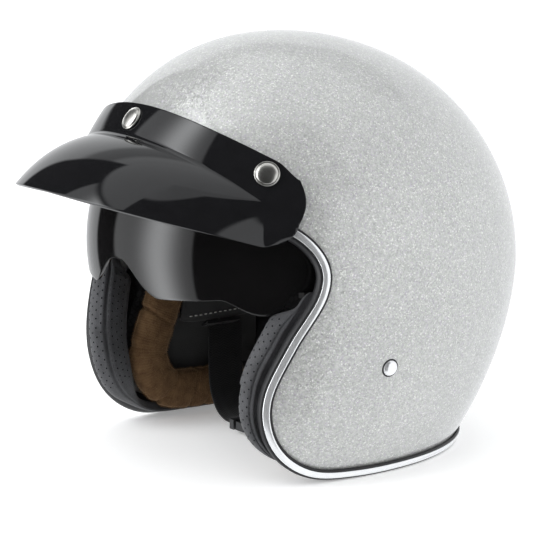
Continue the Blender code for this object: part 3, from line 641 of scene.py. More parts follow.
def shell_point(off, z_low):
    def point(a, rise):
        top = SHELL_TOP + off
        z = SHELL_WAIST + rise * ((top - SHELL_WAIST) if rise > 0 else (SHELL_WAIST - z_low))
        if rise > 0.99999:
            return 0.0, 0.0, top
        ha, yf, yb = level(min(z, top - 1e-6), off)
        s, c = math.sin(a), math.cos(a)
        return ha * spow(c, 2 / PLAN_N), (yb if s > 0 else yf) * spow(s, 2 / PLAN_N), z
    return point


def prism_cutter(outline, half_width):
    bm = bmesh.new()
    ends = [[bm.verts.new(world((x, y, z))) for y, z in outline] for x in (-half_width, half_width)]
    n = len(outline)
    for j in range(n):
        bm.faces.new((ends[0][j], ends[0][(j + 1) % n], ends[1][(j + 1) % n], ends[1][j]))
    bm.faces.new(ends[0][::-1])
    bm.faces.new(ends[1])
    bmesh.ops.recalc_face_normals(bm, faces=bm.faces)
    return new_object("cutter", mesh_of(bm, "cutter"))


LOOP_STEPS = 210
LOOP = edge_loop(LOOP_STEPS)


def build_shell():
    ob = dome("helmet_shell", shell_point(0.0, BOTTOM_Z - 6.0), 240, 60, 34, PAINT)
    thicken(ob, SHELL_WALL)
    side = [(p + b * 0.9)[1:] for p, b, _ in LOOP[:LOOP_STEPS + 1]]
    face = [(-190.0, side[0][1])] + [tuple(q) for q in side] + [
        (190.0, side[-1][1]), (190.0, -40.0), (-190.0, -40.0)]
    face_cutter = prism_cutter(face, 160)
    square = [[(0, 3), (7.5, 3), (7.5, -7.5), (0, -7.5)]] * len(LOOP[::2])
    edge_cutter = loft("edge_cutter", LOOP[::2], square, RUBBER, loop=True)
    cut(ob, face_cutter)
    cut(ob, edge_cutter)
    settle(ob, sharp=35)
    remove(face_cutter, edge_cutter)
    finish_piece(ob, "helmet", ["outer_shell"])


RUBBER_PROFILE = [(-3.7, 0.35), (-3.7, 1.7), (-2.7, 2.2), (-2.5, 1.3), (2.0, 1.3), (2.2, 2.3),
                  (3.4, 2.1), (4.9, -0.6), (4.9, -3.8), (2.6, -6.9), (-6.0, -6.9), (-6.0, -5.1),
                  (0.5, -5.1), (0.5, 0.35)]
CHROME_PROFILE = [(-2.4, 1.5), (-2.38, 2.45), (-1.9, 2.78), (-0.3, 2.95), (1.35, 2.78),
                  (1.86, 2.45), (1.9, 1.5)]


def soft_profile(points, cuts=2):
    """Corner cutting of a closed outline."""
    for _ in range(cuts):
        points = [q for a, b in zip(points, points[1:] + points[:1]) for q in (
            (0.78 * a[0] + 0.22 * b[0], 0.78 * a[1] + 0.22 * b[1]),
            (0.22 * a[0] + 0.78 * b[0], 0.22 * a[1] + 0.78 * b[1]))]
    return points


def build_trim():
    rubber = soft_profile(RUBBER_PROFILE)
    ob = loft("trim_rubber", LOOP, [rubber] * len(LOOP), RUBBER, loop=True, smooth=60)
    for v in ob.data.vertices:
        v.co.z = max(v.co.z, 0.0)
    finish_piece(ob, "helmet", ["edge_trim_rubber"])
    strip = soft_profile(CHROME_PROFILE)
    ob = loft("trim_chrome", LOOP, [strip] * len(LOOP), CHROME, loop=True, smooth=60)
    finish_piece(ob, "helmet", ["edge_trim_chrome"])


# ------------------------------------------------------------------ peak
def surf_polar(deg, z, off):
    """Point of the shell's offset surface at a true plan bearing from the front."""
    a, yf, yb = level(z, off)
    s, c = math.sin(math.radians(deg)), math.cos(math.radians(deg))
    r = ((abs(s) / a) ** PLAN_N + (abs(c) / (yf if c > 0 else yb)) ** PLAN_N) ** (-1 / PLAN_N)
    return np.array([r * s, -r * c, z])


BAND_TOP_Z, BAND_TOP_DROP, BAND_LOW_Z, BAND_LOW_DROP = 217.5, 27.5, 199.6, 41.5
BAND_TOP_END, BAND_LOW_END = 61.2, 60.6          # plan bearings, degrees, of the band's ends
FOLD_FROM, FOLD_TO = 0.26, 0.34                  # share of the section where band turns to brim
BAND_SHARE, BRIM_SHARE = 0.90, 0.05              # how far the band and the brim run beside the fold


def band_top_z(deg):
    return BAND_TOP_Z - BAND_TOP_DROP * (abs(deg) / 57.0) ** 2.1


def band_low_z(deg):
    return BAND_LOW_Z - BAND_LOW_DROP * (abs(deg) / 60.6) ** 2.25


def brim_edge(deg):
    s, c = math.sin(math.radians(deg)), math.cos(math.radians(deg))
    z = BRIM_Z - BRIM_DROP * (min(abs(deg), 80.0) / 80.0) ** 1.75
    return np.array([BRIM_HALF_WIDTH * spow(s, 0.93), BRIM_CENTRE_Y - BRIM_REACH * spow(c, 0.93), z])


def peak_point(t, v):
    """t from -1 right to 1 left; v from 0 at the band's top to 1 at the brim's edge."""
    t = math.copysign(abs(t) ** 0.92, t)
    hand = math.copysign(1, t)
    end = ease((abs(t) - 0.90) / 0.10)
    off = PEAK_GAP + PEAK_WALL
    top_a, low_a = BAND_TOP_END * t, BAND_LOW_END * t
    zt, zl = band_top_z(top_a) - 4.0 * end, band_low_z(low_a)
    k = surf_polar(low_a, zl, off)

    def band(f):
        bulge = 1.6 * math.sin(math.pi * f) * end * hand
        return surf_polar(top_a + (low_a - top_a) * f + bulge, zt + (zl - zt) * f, off)

    def brim(f):
        e = brim_edge(87.0 * t) + np.array([1.5 * hand, -2.5, 1.5]) * end
        span = e - k
        rise = np.array([0.0, -0.35, 0.94]) * (0.40 * np.linalg.norm(span) * f * (1 - f))
        lobe = np.array([3.0 * hand, 0.5, -1.6]) * (math.sin(math.pi * f) * end)
        return k + span * f + rise + lobe
    if v < FOLD_FROM:
        return band(BAND_SHARE * v / FOLD_FROM)
    if v > FOLD_TO:
        return brim(BRIM_SHARE + (1 - BRIM_SHARE) * (v - FOLD_TO) / (1 - FOLD_TO))
    w = (v - FOLD_FROM) / (FOLD_TO - FOLD_FROM)
    return band(BAND_SHARE) * (1 - w) ** 2 + k * 2 * w * (1 - w) + brim(BRIM_SHARE) * w * w


def build_peak():
    nu, nv = 220, 96
    rows = [[peak_point(-1 + 2 * i / nu, j / nv) for i in range(nu + 1)] for j in range(nv + 1)]
    ob = grid("peak_moulding", rows, BLACK)
    thicken(ob, PEAK_WALL, 1.0)
    round_edges(ob, 0.7, 3, 50)
    settle(ob, sharp=50)
    finish_piece(ob, "peak", ["peak"])


def cap_profile():
    """Press-stud cap: thin rolled rim, fine groove and wide domed middle."""
    rim = [(6.75, 0.0), (6.75, 6.8)]
    rim += [(7.3 - 0.5 * math.cos(a), SNAP_R - 0.48 + 0.5 * math.sin(a))
            for a in np.linspace(0.2, 2.8, 10)]
    groove = [(7.58, 6.62), (7.55, 6.5), (7.62, 6.38)]
    crown = [(7.62 + 1.9 * math.sqrt(max(0.0, 1 - (r / 6.4) ** 2)), r)
             for r in 6.34 * np.cos(np.linspace(0.12, math.pi / 2, 14))]
    return rim + groove + crown


SNAPS = (("center", (0.0, -98.6, 205.4)), ("left", (88.6, -69.2, 182.4)),
         ("right", (-88.6, -69.2, 182.4)))


def build_snaps():
    for tag, near in SNAPS:
        p = on_shell(near)
        ob = turned("snap_cap_" + tag, p, outward(p), cap_profile(), NICKEL)
        finish_piece(ob, "peak", ["peak_cap_" + tag])


# ------------------------------------------------------------------ sun visor
TAB_FROM, TAB_LOWEST, TAB_TO, TAB_DROP = 72.0, 93.0, 99.5, 10.5    # pull tab: mm across, degrees


def visor_low(x):
    """Lower edge angle: nose notch in the middle, pull tab on the wearer's left."""
    a = VISOR_LOW * ease((abs(x) - 3) / 33)
    if TAB_FROM < x <= TAB_LOWEST:
        a -= TAB_DROP * ease((x - TAB_FROM) / 19)
    elif TAB_LOWEST < x < TAB_TO:
        a -= TAB_DROP * ease((TAB_TO - x) / 5.5)
    return a


def visor_point(u, v, off=0.0):
    x = VISOR_HALF_WIDTH * math.sin(math.radians(-86 + 172 * u))
    r = VISOR_R * max(0.0, 1 - (abs(x) / VISOR_HALF_WIDTH) ** VISOR_N) ** (1 / VISOR_N)
    lo, hi = visor_low(x), VISOR_HIGH
    if r < 60:
        lo = max(-70.0, -math.degrees(math.asin(min(0.93, 10.9 / r)))) + (lo - VISOR_LOW)
        hi = math.degrees(math.asin(min(0.93, (11 + 18.5 * max(0, r - 12) / 48) / r)))
    ang = math.radians(lo + (hi - lo) * v)
    return np.array([x, VISOR_Y - (r + off) * math.cos(ang), VISOR_Z + (r + off) * math.sin(ang)])


def build_visor():
    nu, nv = 260, 40
    rows = [[visor_point(i / nu, j / nv) for i in range(nu + 1)] for j in range(nv + 1)]
    ob = grid("visor_lens", rows, LENS)
    thicken(ob, VISOR_WALL, -1.0, even=False)
    round_edges(ob, 0.6, 3, 50)
    settle(ob, sharp=50)
    finish_piece(ob, "sun_visor", ["sun_visor_lens"])


# ------------------------------------------------------------------ repeated details
def stamp_tree(name, shape):
    """Geometry nodes that set one small shape at every point, turned by its two vectors."""
    tree = bpy.data.node_groups.new(name, "GeometryNodeTree")
    tree.interface.new_socket("Geometry", in_out="INPUT", socket_type="NodeSocketGeometry")
    for label in ("Length", "Width", "Height"):
        tree.interface.new_socket(label, in_out="INPUT", socket_type="NodeSocketFloat")
    tree.interface.new_socket("Material", in_out="INPUT", socket_type="NodeSocketMaterial")
    tree.interface.new_socket("Geometry", in_out="OUTPUT", socket_type="NodeSocketGeometry")
    new, wire = tree.nodes.new, tree.links.new
    given, result = new("NodeGroupInput"), new("NodeGroupOutput")
    size = new("ShaderNodeCombineXYZ")
    for k, label in enumerate(("Length", "Width", "Height")):
        wire(given.outputs[label], size.inputs[k])
    if shape == "bead":
        form = new("GeometryNodeMeshUVSphere")
        form.inputs["Segments"].default_value = 8
        form.inputs["Rings"].default_value = 6
        form.inputs["Radius"].default_value = 0.5
    elif shape == "disc":
        form = new("GeometryNodeMeshCircle")
        form.fill_type = "NGON"
        form.inputs["Vertices"].default_value = 10
        form.inputs["Radius"].default_value = 0.5
    else:
        form = new("GeometryNodeMeshCone")
        form.fill_type = "NONE"
        form.inputs["Vertices"].default_value = 12 if shape == "lip" else 3
        form.inputs["Radius Top"].default_value = 0.36 if shape == "lip" else 0.02
        form.inputs["Radius Bottom"].default_value = 0.5
        form.inputs["Depth"].default_value = 1.0
    along, facing = new("GeometryNodeInputNamedAttribute"), new("GeometryNodeInputNamedAttribute")
    for node, label in ((along, "along"), (facing, "facing")):
        node.data_type = "FLOAT_VECTOR"
        node.inputs["Name"].default_value = label
    turn_x, turn_z = new("FunctionNodeAlignRotationToVector"), new("FunctionNodeAlignRotationToVector")
    turn_x.axis, turn_z.axis, turn_z.pivot_axis = "X", "Z", "X"
    wire(along.outputs["Attribute"], turn_x.inputs["Vector"])
    wire(turn_x.outputs["Rotation"], turn_z.inputs["Rotation"])
    wire(facing.outputs["Attribute"], turn_z.inputs["Vector"])
    put = new("GeometryNodeInstanceOnPoints")
    wire(given.outputs["Geometry"], put.inputs["Points"])
    wire(form.outputs["Mesh"], put.inputs["Instance"])
    wire(turn_z.outputs["Rotation"], put.inputs["Rotation"])
    wire(size.outputs["Vector"], put.inputs["Scale"])
    real, paint = new("GeometryNodeRealizeInstances"), new("GeometryNodeSetMaterial")
    wire(put.outputs["Instances"], real.inputs["Geometry"])
    wire(real.outputs["Geometry"], paint.inputs["Geometry"])
    wire(given.outputs["Material"], paint.inputs["Material"])
    wire(paint.outputs["Geometry"], result.inputs["Geometry"])
    return tree


STAMPS = {shape: stamp_tree("set_" + shape, shape) for shape in ("bead", "disc", "lip", "spike")}


def stamp(name, shape, spots, size, material, body, smooth=True):
    """Small shapes of size (length, width, height) mm at spots (point, along, facing)."""
    mesh = bpy.data.meshes.new(name)
    mesh.from_pydata([world(p) for p, _, _ in spots], [], [])
    for label, k in (("along", 1), ("facing", 2)):
        attribute = mesh.attributes.new(label, "FLOAT_VECTOR", "POINT")
        flat = np.array([np.array(s[k], float) for s in spots], np.float32)
        attribute.data.foreach_set("vector", flat.ravel())
    ob = new_object(name, mesh)
    m = ob.modifiers.new("stamps", "NODES")
    m.node_group = STAMPS[shape]
    ids = {s.name: s.identifier for s in m.node_group.interface.items_tree if s.in_out == "INPUT"}
    for label, value in zip(("Length", "Width", "Height"), size):
        m[ids[label]] = value * MM
    m[ids["Material"]] = material
    settle(ob)
    if smooth:
        ob.data.shade_smooth()
    return finish_piece(ob, body)


def row_of_stitches(name, points, normals, length, gap, thick, material, body, lift=0.3):
    """Stitches laid end to end along a line of design points."""
    run = lengths(points)
    points, normals = np.array(points), np.array(normals)
    spots = []
    for s in np.arange(gap, run[-1] - length, length + gap):
        a, b = (np.array([np.interp(x, run, points[:, k]) for k in range(3)])
                for x in (s, s + length))
        n = np.array([np.interp(s + length / 2, run, normals[:, k]) for k in range(3)])
        spots.append(((a + b) / 2 + n * lift, (b - a) / np.linalg.norm(b - a), n))
    return stamp(name, "bead", spots, (length, thick, thick), material, body)


# ------------------------------------------------------------------ cheek pads
COVER_FRONT = [(5.8, -7.7), (7.6, -5.0), (11.0, -4.2), (14.5, -6.0), (16.6, -10.0), (15.6, -15.0),
               (11.5, -19.5), (5.0, -22.8), (-1.5, -24.0), (-4.0, -21.0), (-1.0, -14.0),
               (-2.5, -9.5)]
COVER_LOW = [(5.4, -7.7), (5.9, -8.6), (6.4, -9.8), (7.0, -11.0), (7.5, -12.2), (7.4, -13.2),
             (6.6, -13.6), (5.2, -13.0), (3.6, -12.2), (1.6, -11.2), (0.2, -9.6), (1.8, -8.2)]
COVER_TOP = [(5.4, -7.7), (6.3, -7.2), (7.0, -6.9), (7.6, -7.6), (7.7, -8.4), (7.0, -9.4),
             (5.0, -10.0), (1.5, -10.2), (-2.5, -10.2), (-5.0, -9.6), (-4.5, -8.6), (-2.0, -7.9)]
PER_SPAN = 8
HOLE_PITCH = 5.0
COVER_TOP_Z, COVER_BACK_Y = 117.0, 30.0
SEAM_AT, PIPE_AT = 5.45, 1.05     # places round the cover section where its seams run


def cover_section(p):
    """Smooth closed section of the cover at an edge point, and how much of it is full front."""
    low_b = ease((p[1] + 82) / 28) if p[2] < 58 else 0.0
    low_n = ease((p[1] + 77) / 32) if p[2] < 58 else 0.0
    top = ease((p[2] - 91) / 15)
    nodes = [(a0 + (a1 - a0) * low_b + (a2 - a0) * top, b0 + (b1 - b0) * low_n + (b2 - b0) * top)
             for (a0, b0), (a1, b1), (a2, b2) in zip(COVER_FRONT, COVER_LOW, COVER_TOP)]
    full = (1 - low_b) * (1 - low_n) * (1 - top)
    ring = np.array(catmull(nodes, PER_SPAN, closed=True))
    nxt, prv = np.roll(ring, -1, axis=0), np.roll(ring, 1, axis=0)
    t = nxt - prv
    t /= np.maximum(np.linalg.norm(t, axis=1, keepdims=True), 1e-9)
    out = np.stack([-t[:, 1], t[:, 0]], axis=1)
    middle = ring.mean(axis=0)
    out *= np.sign(((ring - middle) * out).sum(axis=1, keepdims=True).mean())
    place = np.arange(len(ring)) / PER_SPAN
    push = np.zeros(len(ring))
    for k, s in enumerate(place):
        push[k] -= 1.5 * bell(s - SEAM_AT, 0.13)
        push[k] += 0.5 * (bell(s - SEAM_AT - 0.40, 0.24) + bell(s - SEAM_AT + 0.40, 0.24))
        push[k] += 0.8 * bell(s - PIPE_AT, 0.24) - 1.1 * bell(s - PIPE_AT - 0.58, 0.14)
        push[k] -= 0.8 * bell(s - 7.75, 0.15)
    return ring + out * (push * (0.25 + 0.75 * full))[:, None], full


def cover_rows(sx):
    """Rows of design points of a cheek pad cover and the share of full section of each."""
    frames = [fr for fr in edge_loop(420)[:421] if fr[0][2] < COVER_TOP_Z
              and fr[0][1] < COVER_BACK_Y]
    rows, shares = [], []
    n = len(frames)
    for i, (p, b, nrm) in enumerate(frames):
        ring, full = cover_section(p)
        close = math.sqrt(max(0.0, 1 - max(0.0, 1 - min(i, n - 1 - i) / 9.0) ** 2))
        middle = ring.mean(axis=0)
        ring = middle + (ring - middle) * max(0.04, close)
        row = []
        for eb, en in ring:
            q = p + b * eb + nrm * en
            ripple = noise.noise(Vector((q[0] * sx, q[1], q[2])) * 0.055) * 0.7 * full
            q = q + (b * 0.7 - nrm * 0.7) * ripple
            row.append(q * np.array([sx, 1, 1]))
        rows.append(row)
        shares.append(full)
    return rows, shares


def spot_on(rows, i, j):
    """Point, direction along and outward normal of a row grid at fractional (i, j)."""
    i0, j0 = int(i), int(j)
    m = len(rows[0])
    fi, fj = i - i0, j - j0
    i1, j1 = min(i0 + 1, len(rows) - 1), (j0 + 1) % m
    a, b, c, d = rows[i0][j0], rows[i1][j0], rows[i0][j1], rows[i1][j1]
    p = a * (1 - fi) * (1 - fj) + b * fi * (1 - fj) + c * (1 - fi) * fj + d * fi * fj
    along, around = b - a, c - a
    n = np.cross(along, around)
    n /= max(1e-9, np.linalg.norm(n))
    middle = np.mean(rows[i0], axis=0)
    n = n if (p - middle) @ n > 0 else -n
    return p, along / max(1e-9, np.linalg.norm(along)), n


def build_cover(tag, sx):
    rows, shares = cover_rows(sx)
    run = lengths([r[0] for r in rows])
    ob = grid("cheek_cover_" + tag, rows, LEATHER, ring=True, caps=True, uv=(run, girth(rows)),
              smooth=70)
    finish_piece(ob, "helmet", ["cheek_pad_cover_" + tag])
    holes = []
    for place, shift in ((2.15, 0), (2.95, 0.5), (3.70, 0), (4.30, 0.5), (4.88, 0), (6.05, 0.5),
                         (6.60, 0), (7.15, 0.5)):
        s = HOLE_PITCH * shift + 6.0
        while s < run[-1] - 5:
            i = float(np.interp(s, run, np.arange(len(rows))))
            if shares[int(i)] > 0.55:
                holes.append(spot_on(rows, i, place * PER_SPAN))
            s += HOLE_PITCH
    stamp("cover_hole_lips_" + tag, "lip", [(p + n * 0.03, a, n) for p, a, n in holes],
          (1.5, 1.5, 0.16), LEATHER, "helmet")
    # Dark discs in the holes: painted shade of the holes' insides
    stamp("cover_holes_" + tag, "disc", [(p + n * 0.09, a, n) for p, a, n in holes],
          (1.08, 1.08, 1.0), HOLE, "helmet", smooth=False)
    for name, place in (("seam", SEAM_AT + 0.24), ("pipe", PIPE_AT + 0.66)):
        line = [spot_on(rows, i, place * PER_SPAN) for i in range(6, len(rows) - 6, 2)
                if shares[i] > 0.4]
        row_of_stitches("cover_%s_stitches_%s" % (name, tag), [q[0] for q in line],
                        [q[2] for q in line], 2.6, 0.9, 0.42, DARK_THREAD, "helmet",
                        lift=0.05)


ROLL_X, ROLL_T, ROLL_W = 80.0, 8.0, 13.0
NAP_FIBRES = 17000
ROLL_PATH = [(-27, 104), (-31, 84), (-39, 64), (-44.5, 47), (-41.5, 32), (-30, 21), (-12, 18.3),
             (8, 19), (28, 22)]
CREASES = ((0.25, 2.6, 0.0075), (0.40, 1.2, 0.012), (0.61, 3.2, 0.009), (0.73, 1.9, 0.008),
           (0.80, 1.5, 0.008), (0.88, 1.2, 0.009))    # place along the roll, depth mm, width


def build_roll(tag, sx):
    n, m = 260, 56
    path = resample(catmull(ROLL_PATH, 14), n)
    rows = []
    for i, p in enumerate(path):
        t = path[min(i + 1, n)] - path[max(i - 1, 0)]
        t /= np.linalg.norm(t)
        cap = min(i, n - i) / 11.0
        k = math.sqrt(max(0.0016, 1 - max(0.0, 1 - cap) ** 2))
        centre, across = np.array([sx * ROLL_X, p[0], p[1]]), np.array([0, -t[1], t[0]])
        row = []
        for j in range(m):
            a = 2 * math.pi * j / m
            ca, sa = spow(math.cos(a), 0.8), spow(math.sin(a), 0.8)
            inner = 0.35 + 0.65 * max(0.0, -math.cos(a))
            slant = 0.020 * ca
            pinch = sum(d * bell(i / n - s - slant, w) for s, d, w in CREASES)
            q = centre + across * k * ROLL_W * ca + np.array([sx, 0, 0]) * k * ROLL_T * sa
            lump = noise.noise(Vector((q[0] * sx, q[1], q[2])) * 0.075) * 0.8
            lump += noise.noise(Vector((q[0] * sx, q[1], q[2])) * 0.2 + Vector((7, 3, 1))) * 0.3
            q = q + (centre - q) * (pinch * inner / ROLL_W) + (q - centre) / ROLL_W * (lump - 0.5) * k
            row.append(q)
        rows.append(row)
    run = lengths([np.array([0, *p]) for p in path])
    ob = grid("cheek_roll_plush_" + tag, rows, PLUSH, ring=True, caps=True, uv=(run, girth(rows)),
              smooth=80)
    finish_piece(ob, "helmet", ["cheek_roll_" + tag])
    add_nap("roll_nap_" + tag, ob, NAP_FIBRES, 11 + sx)


def add_nap(name, ob, count, seed):
    """Short fibres standing on a plush piece."""
    rng = np.random.default_rng(seed)
    mesh = ob.data
    areas = np.array([f.area for f in mesh.polygons])
    normals = [np.array(f.normal) for f in mesh.polygons]
    corners = [[np.array(mesh.vertices[v].co) / MM for v in f.vertices] for f in mesh.polygons]
    pick = rng.choice(len(areas), size=count, p=areas / areas.sum())
    spots = []
    for k, (u, v), tilt in zip(pick, rng.random((count, 2)), rng.normal(size=(count, 3))):
        c = corners[k]
        if len(c) != 4:
            continue
        p = (c[0] * (1 - u) + c[1] * u) * (1 - v) + (c[3] * (1 - u) + c[2] * u) * v
        facing = normals[k] + tilt * 0.38
        facing /= np.linalg.norm(facing)
        p = p + np.array([0.0, CENTRE_Y, 0.0])
        spots.append((p + facing * 0.30, np.cross(facing, (0.3, 0.5, 0.8)), facing))
    stamp(name, "spike", spots, (0.16, 0.16, 0.95), FIBRE, "helmet", smooth=False)


EAR_PANEL = [(-12, 103), (-15.5, 84), (-18.5, 70), (-15, 61.6), (33, 61.6), (38, 68), (37, 90),
             (25, 103)]


def build_ear_panel(tag, sx):
    """Soft cloth panel over the ear hollow, hemmed and stitched along its low edge."""
    mid = np.mean(EAR_PANEL, axis=0)
    rim = mid + (np.array(catmull(EAR_PANEL, 10, closed=True)) - mid) * 0.985
    rows = []
    for r in [1.0, 0.985, 0.955] + [0.92 * (1 - k / 14) for k in range(14)] + [0.01]:
        row = []
        for y, z in mid + (rim - mid) * r:
            hem = 0.8 * bell(z - 63.4, 1.0) * (1 if r < 0.97 else 0)
            swell = 0.55 * noise.noise(Vector((y * 0.08, z * 0.08, 3.0)))
            x = 79.7 + 0.9 * ease((r - 0.93) / 0.07) + hem + swell * ease((1 - r) * 6)
            row.append(np.array([sx * x, y, z]))
        rows.append(row)
    ob = grid("ear_cloth_" + tag, rows, KNIT, ring=True, smooth=80)
    thicken(ob, 1.6, -1.0 if sx < 0 else 1.0, even=False)
    settle(ob)
    finish_piece(ob, "helmet", ["ear_panel_" + tag])
    line = [np.array([sx * 79.2, y, 65.6 + 0.02 * (y + 10)]) for y in np.linspace(-15.0, 34.0, 60)]
    row_of_stitches("ear_stitches_" + tag, line, [np.array([-sx, 0, 0])] * 60, 2.3, 1.5, 0.8,
                    THREAD, "helmet", lift=0.15)


SKIRT_X, SKIRT_TOP, SKIRT_LOW = 85.0, 68.0, 29.0


def build_ear_skirt(tag, sx):
    """Loose cloth behind the strap, from the ear panel down to the plush roll."""
    rows = []
    for z in np.linspace(SKIRT_TOP, SKIRT_LOW, 60):
        row = []
        for y in np.linspace(-33.0, 42.0, 90):
            fold = 1.3 * bell(y - 6 - 0.55 * (SKIRT_TOP - z), 2.2) - 1.5 * bell(
                y - 11 - 0.55 * (SKIRT_TOP - z), 3.0)
            swell = 1.2 * noise.noise(Vector((y * 0.06, z * 0.08, 9.0)))
            row.append(np.array([sx * (SKIRT_X - fold + swell), y, z]))
        rows.append(row)
    ob = grid("ear_skirt_" + tag, rows, KNIT, smooth=80)
    thicken(ob, 1.0, 0.0, even=False)
    settle(ob, sharp=80)
    finish_piece(ob, "helmet")


# ------------------------------------------------------------------ neck padding
NECK_PAD = [(9, 12), (6.5, 15.5), (7.5, 21), (18, 26), (34, 27), (49, 24), (56, 17), (56, 10),
            (40, 8.0), (24, 9.0), (16, 11.6)]
NECK_ROLL = [(16, 28.5), (18, 33), (30, 36.5), (42, 33.5), (45, 28.0), (31, 28.0)]


def build_neck(name, section, a0, a1, material, node, seams):
    """Pad round the nape: section is (height, depth inside the shell)."""
    zc = sum(z for z, d in section) / len(section)
    dc = sum(d for z, d in section) / len(section)
    ring = catmull(section, 6, closed=True)
    cols, rows = 220, []
    for i in range(cols + 1):
        f = i / cols
        a = math.radians(a0 + (a1 - a0) * f)
        k = math.sqrt(max(0.002, 1 - max(0.0, 1 - min(f, 1 - f) / 0.05) ** 2)) * 0.97
        pinch = sum(bell(f - s, 0.006) for s in seams)
        row = []
        for z, d in ring:
            deep = dc + (d - dc) * k * (1 - 0.10 * pinch)
            high = zc + (z - zc) * k * (1 - 0.05 * pinch)
            lump = 0.5 * noise.noise(Vector((f * 22, z * 0.09, d * 0.09)))
            row.append(at(a, high, -(deep + lump * k)))
        rows.append(row)
    ob = grid(name, rows, material, ring=True, caps=True,
              uv=(lengths([r[0] for r in rows]), girth(rows)), smooth=80)
    finish_piece(ob, "helmet", [node])


# ------------------------------------------------------------------ crown lining
def cavity_point(a, rise, off, z_low):
    z = SHELL_WAIST + rise * ((HEAD_TOP + off - SHELL_WAIST) if rise > 0 else (SHELL_WAIST - z_low))
    s = max(0.0, 1 - max(0.0, rise) ** 2.2) ** (1 / 2.2)
    sn, c = math.sin(a), math.cos(a)
    fy = (HEAD_BACK if sn > 0 else HEAD_FRONT) + off
    return (HEAD_HALF + off) * s * spow(c, 0.91), fy * s * spow(sn, 0.91), z


LINING_IN = -7.8                 # comfort lining's inner face from the head cavity


def lining_point(a, rise):
    p = cavity_point(a, rise, LINING_IN, 76.0)
    quilt = 0.0
    if rise > 0.25:
        for line in (-30.0, 0.0, 30.0):
            quilt += bell(p[0] - line, 1.4)
    quilt += bell(rise - 0.25, 0.014)
    swell = 0.8 * noise.noise(Vector(p) * 0.05)
    return cavity_point(a, rise, LINING_IN + 1.8 * min(1.0, quilt) - swell, 76.0)


def build_lining():
    ob = dome("crown_lining", lining_point, 200, 60, 16, KNIT)
    thicken(ob, 5.0, 1.0, even=False)
    outline = [(-190, 174), (-80, 169), (-52, 157), (-35, 139), (-35, 106), (30, 106), (58, 78),
               (58, 60), (-190, 60)]
    cutter = prism_cutter(outline, 160)
    cut(ob, cutter)
    settle(ob, sharp=60)
    remove(cutter)
    finish_piece(ob, "helmet", ["crown_liner"])


# ------------------------------------------------------------------ rivets and chin strap
def build_rivets():
    crown = [(1.0 + 1.45 * math.sqrt(max(0.0, 1 - (r / 4.3) ** 2)), r)
             for r in 4.25 * np.cos(np.linspace(0.1, math.pi / 2, 12))]
    profile = [(0.1, 0.0), (0.1, RIVET_R), (0.6, RIVET_R), (0.95, RIVET_R - 0.25)] + crown
    inner = [(-10.0, 0.0), (-10.0, 5.2), (-8.6, 5.2), (-8.6, 2.3), (0.2, 2.3), (0.2, 0.0)]
    for sx, tag in ((1, "left"), (-1, "right")):
        p = on_shell((sx * 123.0, RIVET_Y, RIVET_Z))
        n = outward(p)
        head = turned("rivet_head_" + tag, p, n, profile, CHROME)
        finish_piece(head, "helmet", ["strap_rivet_" + tag])
        finish_piece(turned("rivet_shank_" + tag, p, n, inner, NICKEL, 32), "helmet")
        seat = [(-0.1, RIVET_R - 0.4), (0.16, RIVET_R + 0.1), (0.16, RIVET_R + 0.75),
                (-0.1, RIVET_R + 0.9)]
        finish_piece(turned("rivet_seat_" + tag, p, n, seat, RUBBER), "helmet")


TOP_X, BUCKLE_HI, BUCKLE_LO = 76.5, (67.0, 36.0), (33.0, 10.0)


def xz(x, z, y=0.0):
    """Point of the strap's middle line: it hangs further forward the lower it is."""
    return np.array([x, STRAP_Y + y - STRAP_LEAN * (STRAP_PIVOT_Z - z), z], float)


buckle_run = xz(*BUCKLE_LO) - xz(*BUCKLE_HI)
buckle_len = np.linalg.norm(buckle_run)
buckle_run /= buckle_len
buckle_out = np.array([-buckle_run[2], 0, buckle_run[0]]) / math.hypot(buckle_run[0], buckle_run[2])
buckle_out = -buckle_out if buckle_out[2] > 0 else buckle_out


def on_buckle(s, m):
    """Point s mm down the buckle's straight, m mm outwards."""
    return xz(*BUCKLE_HI) + buckle_run * s + buckle_out * m


def ribbon(name, path, body, node):
    """Webbing along a path in mm, its width along Y, with rounded selvedges."""
    path = catmull(path, 8)
    run = lengths(path)
    n = len(path)
    rows = []
    for i, p in enumerate(path):
        t = path[min(i + 1, n - 1)] - path[max(i - 1, 0)]
        t /= np.linalg.norm(t)
        up = np.cross(t, (0, 1, 0))
        up /= np.linalg.norm(up)
        row = []
        for a in np.linspace(0, 2 * math.pi, 44, endpoint=False):
            y, h = spow(math.cos(a), 0.16) * STRAP_W / 2, spow(math.sin(a), 0.45) * STRAP_T / 2
            row.append(p + np.array([0, y, 0]) + up * h)
        rows.append(row)
    across = [y[1] for y in rows[n // 2]] + [rows[n // 2][0][1]]
    ob = grid(name, rows, WEBBING, ring=True, caps=True, uv=(run, across), smooth=50)
    return finish_piece(ob, body, [node])


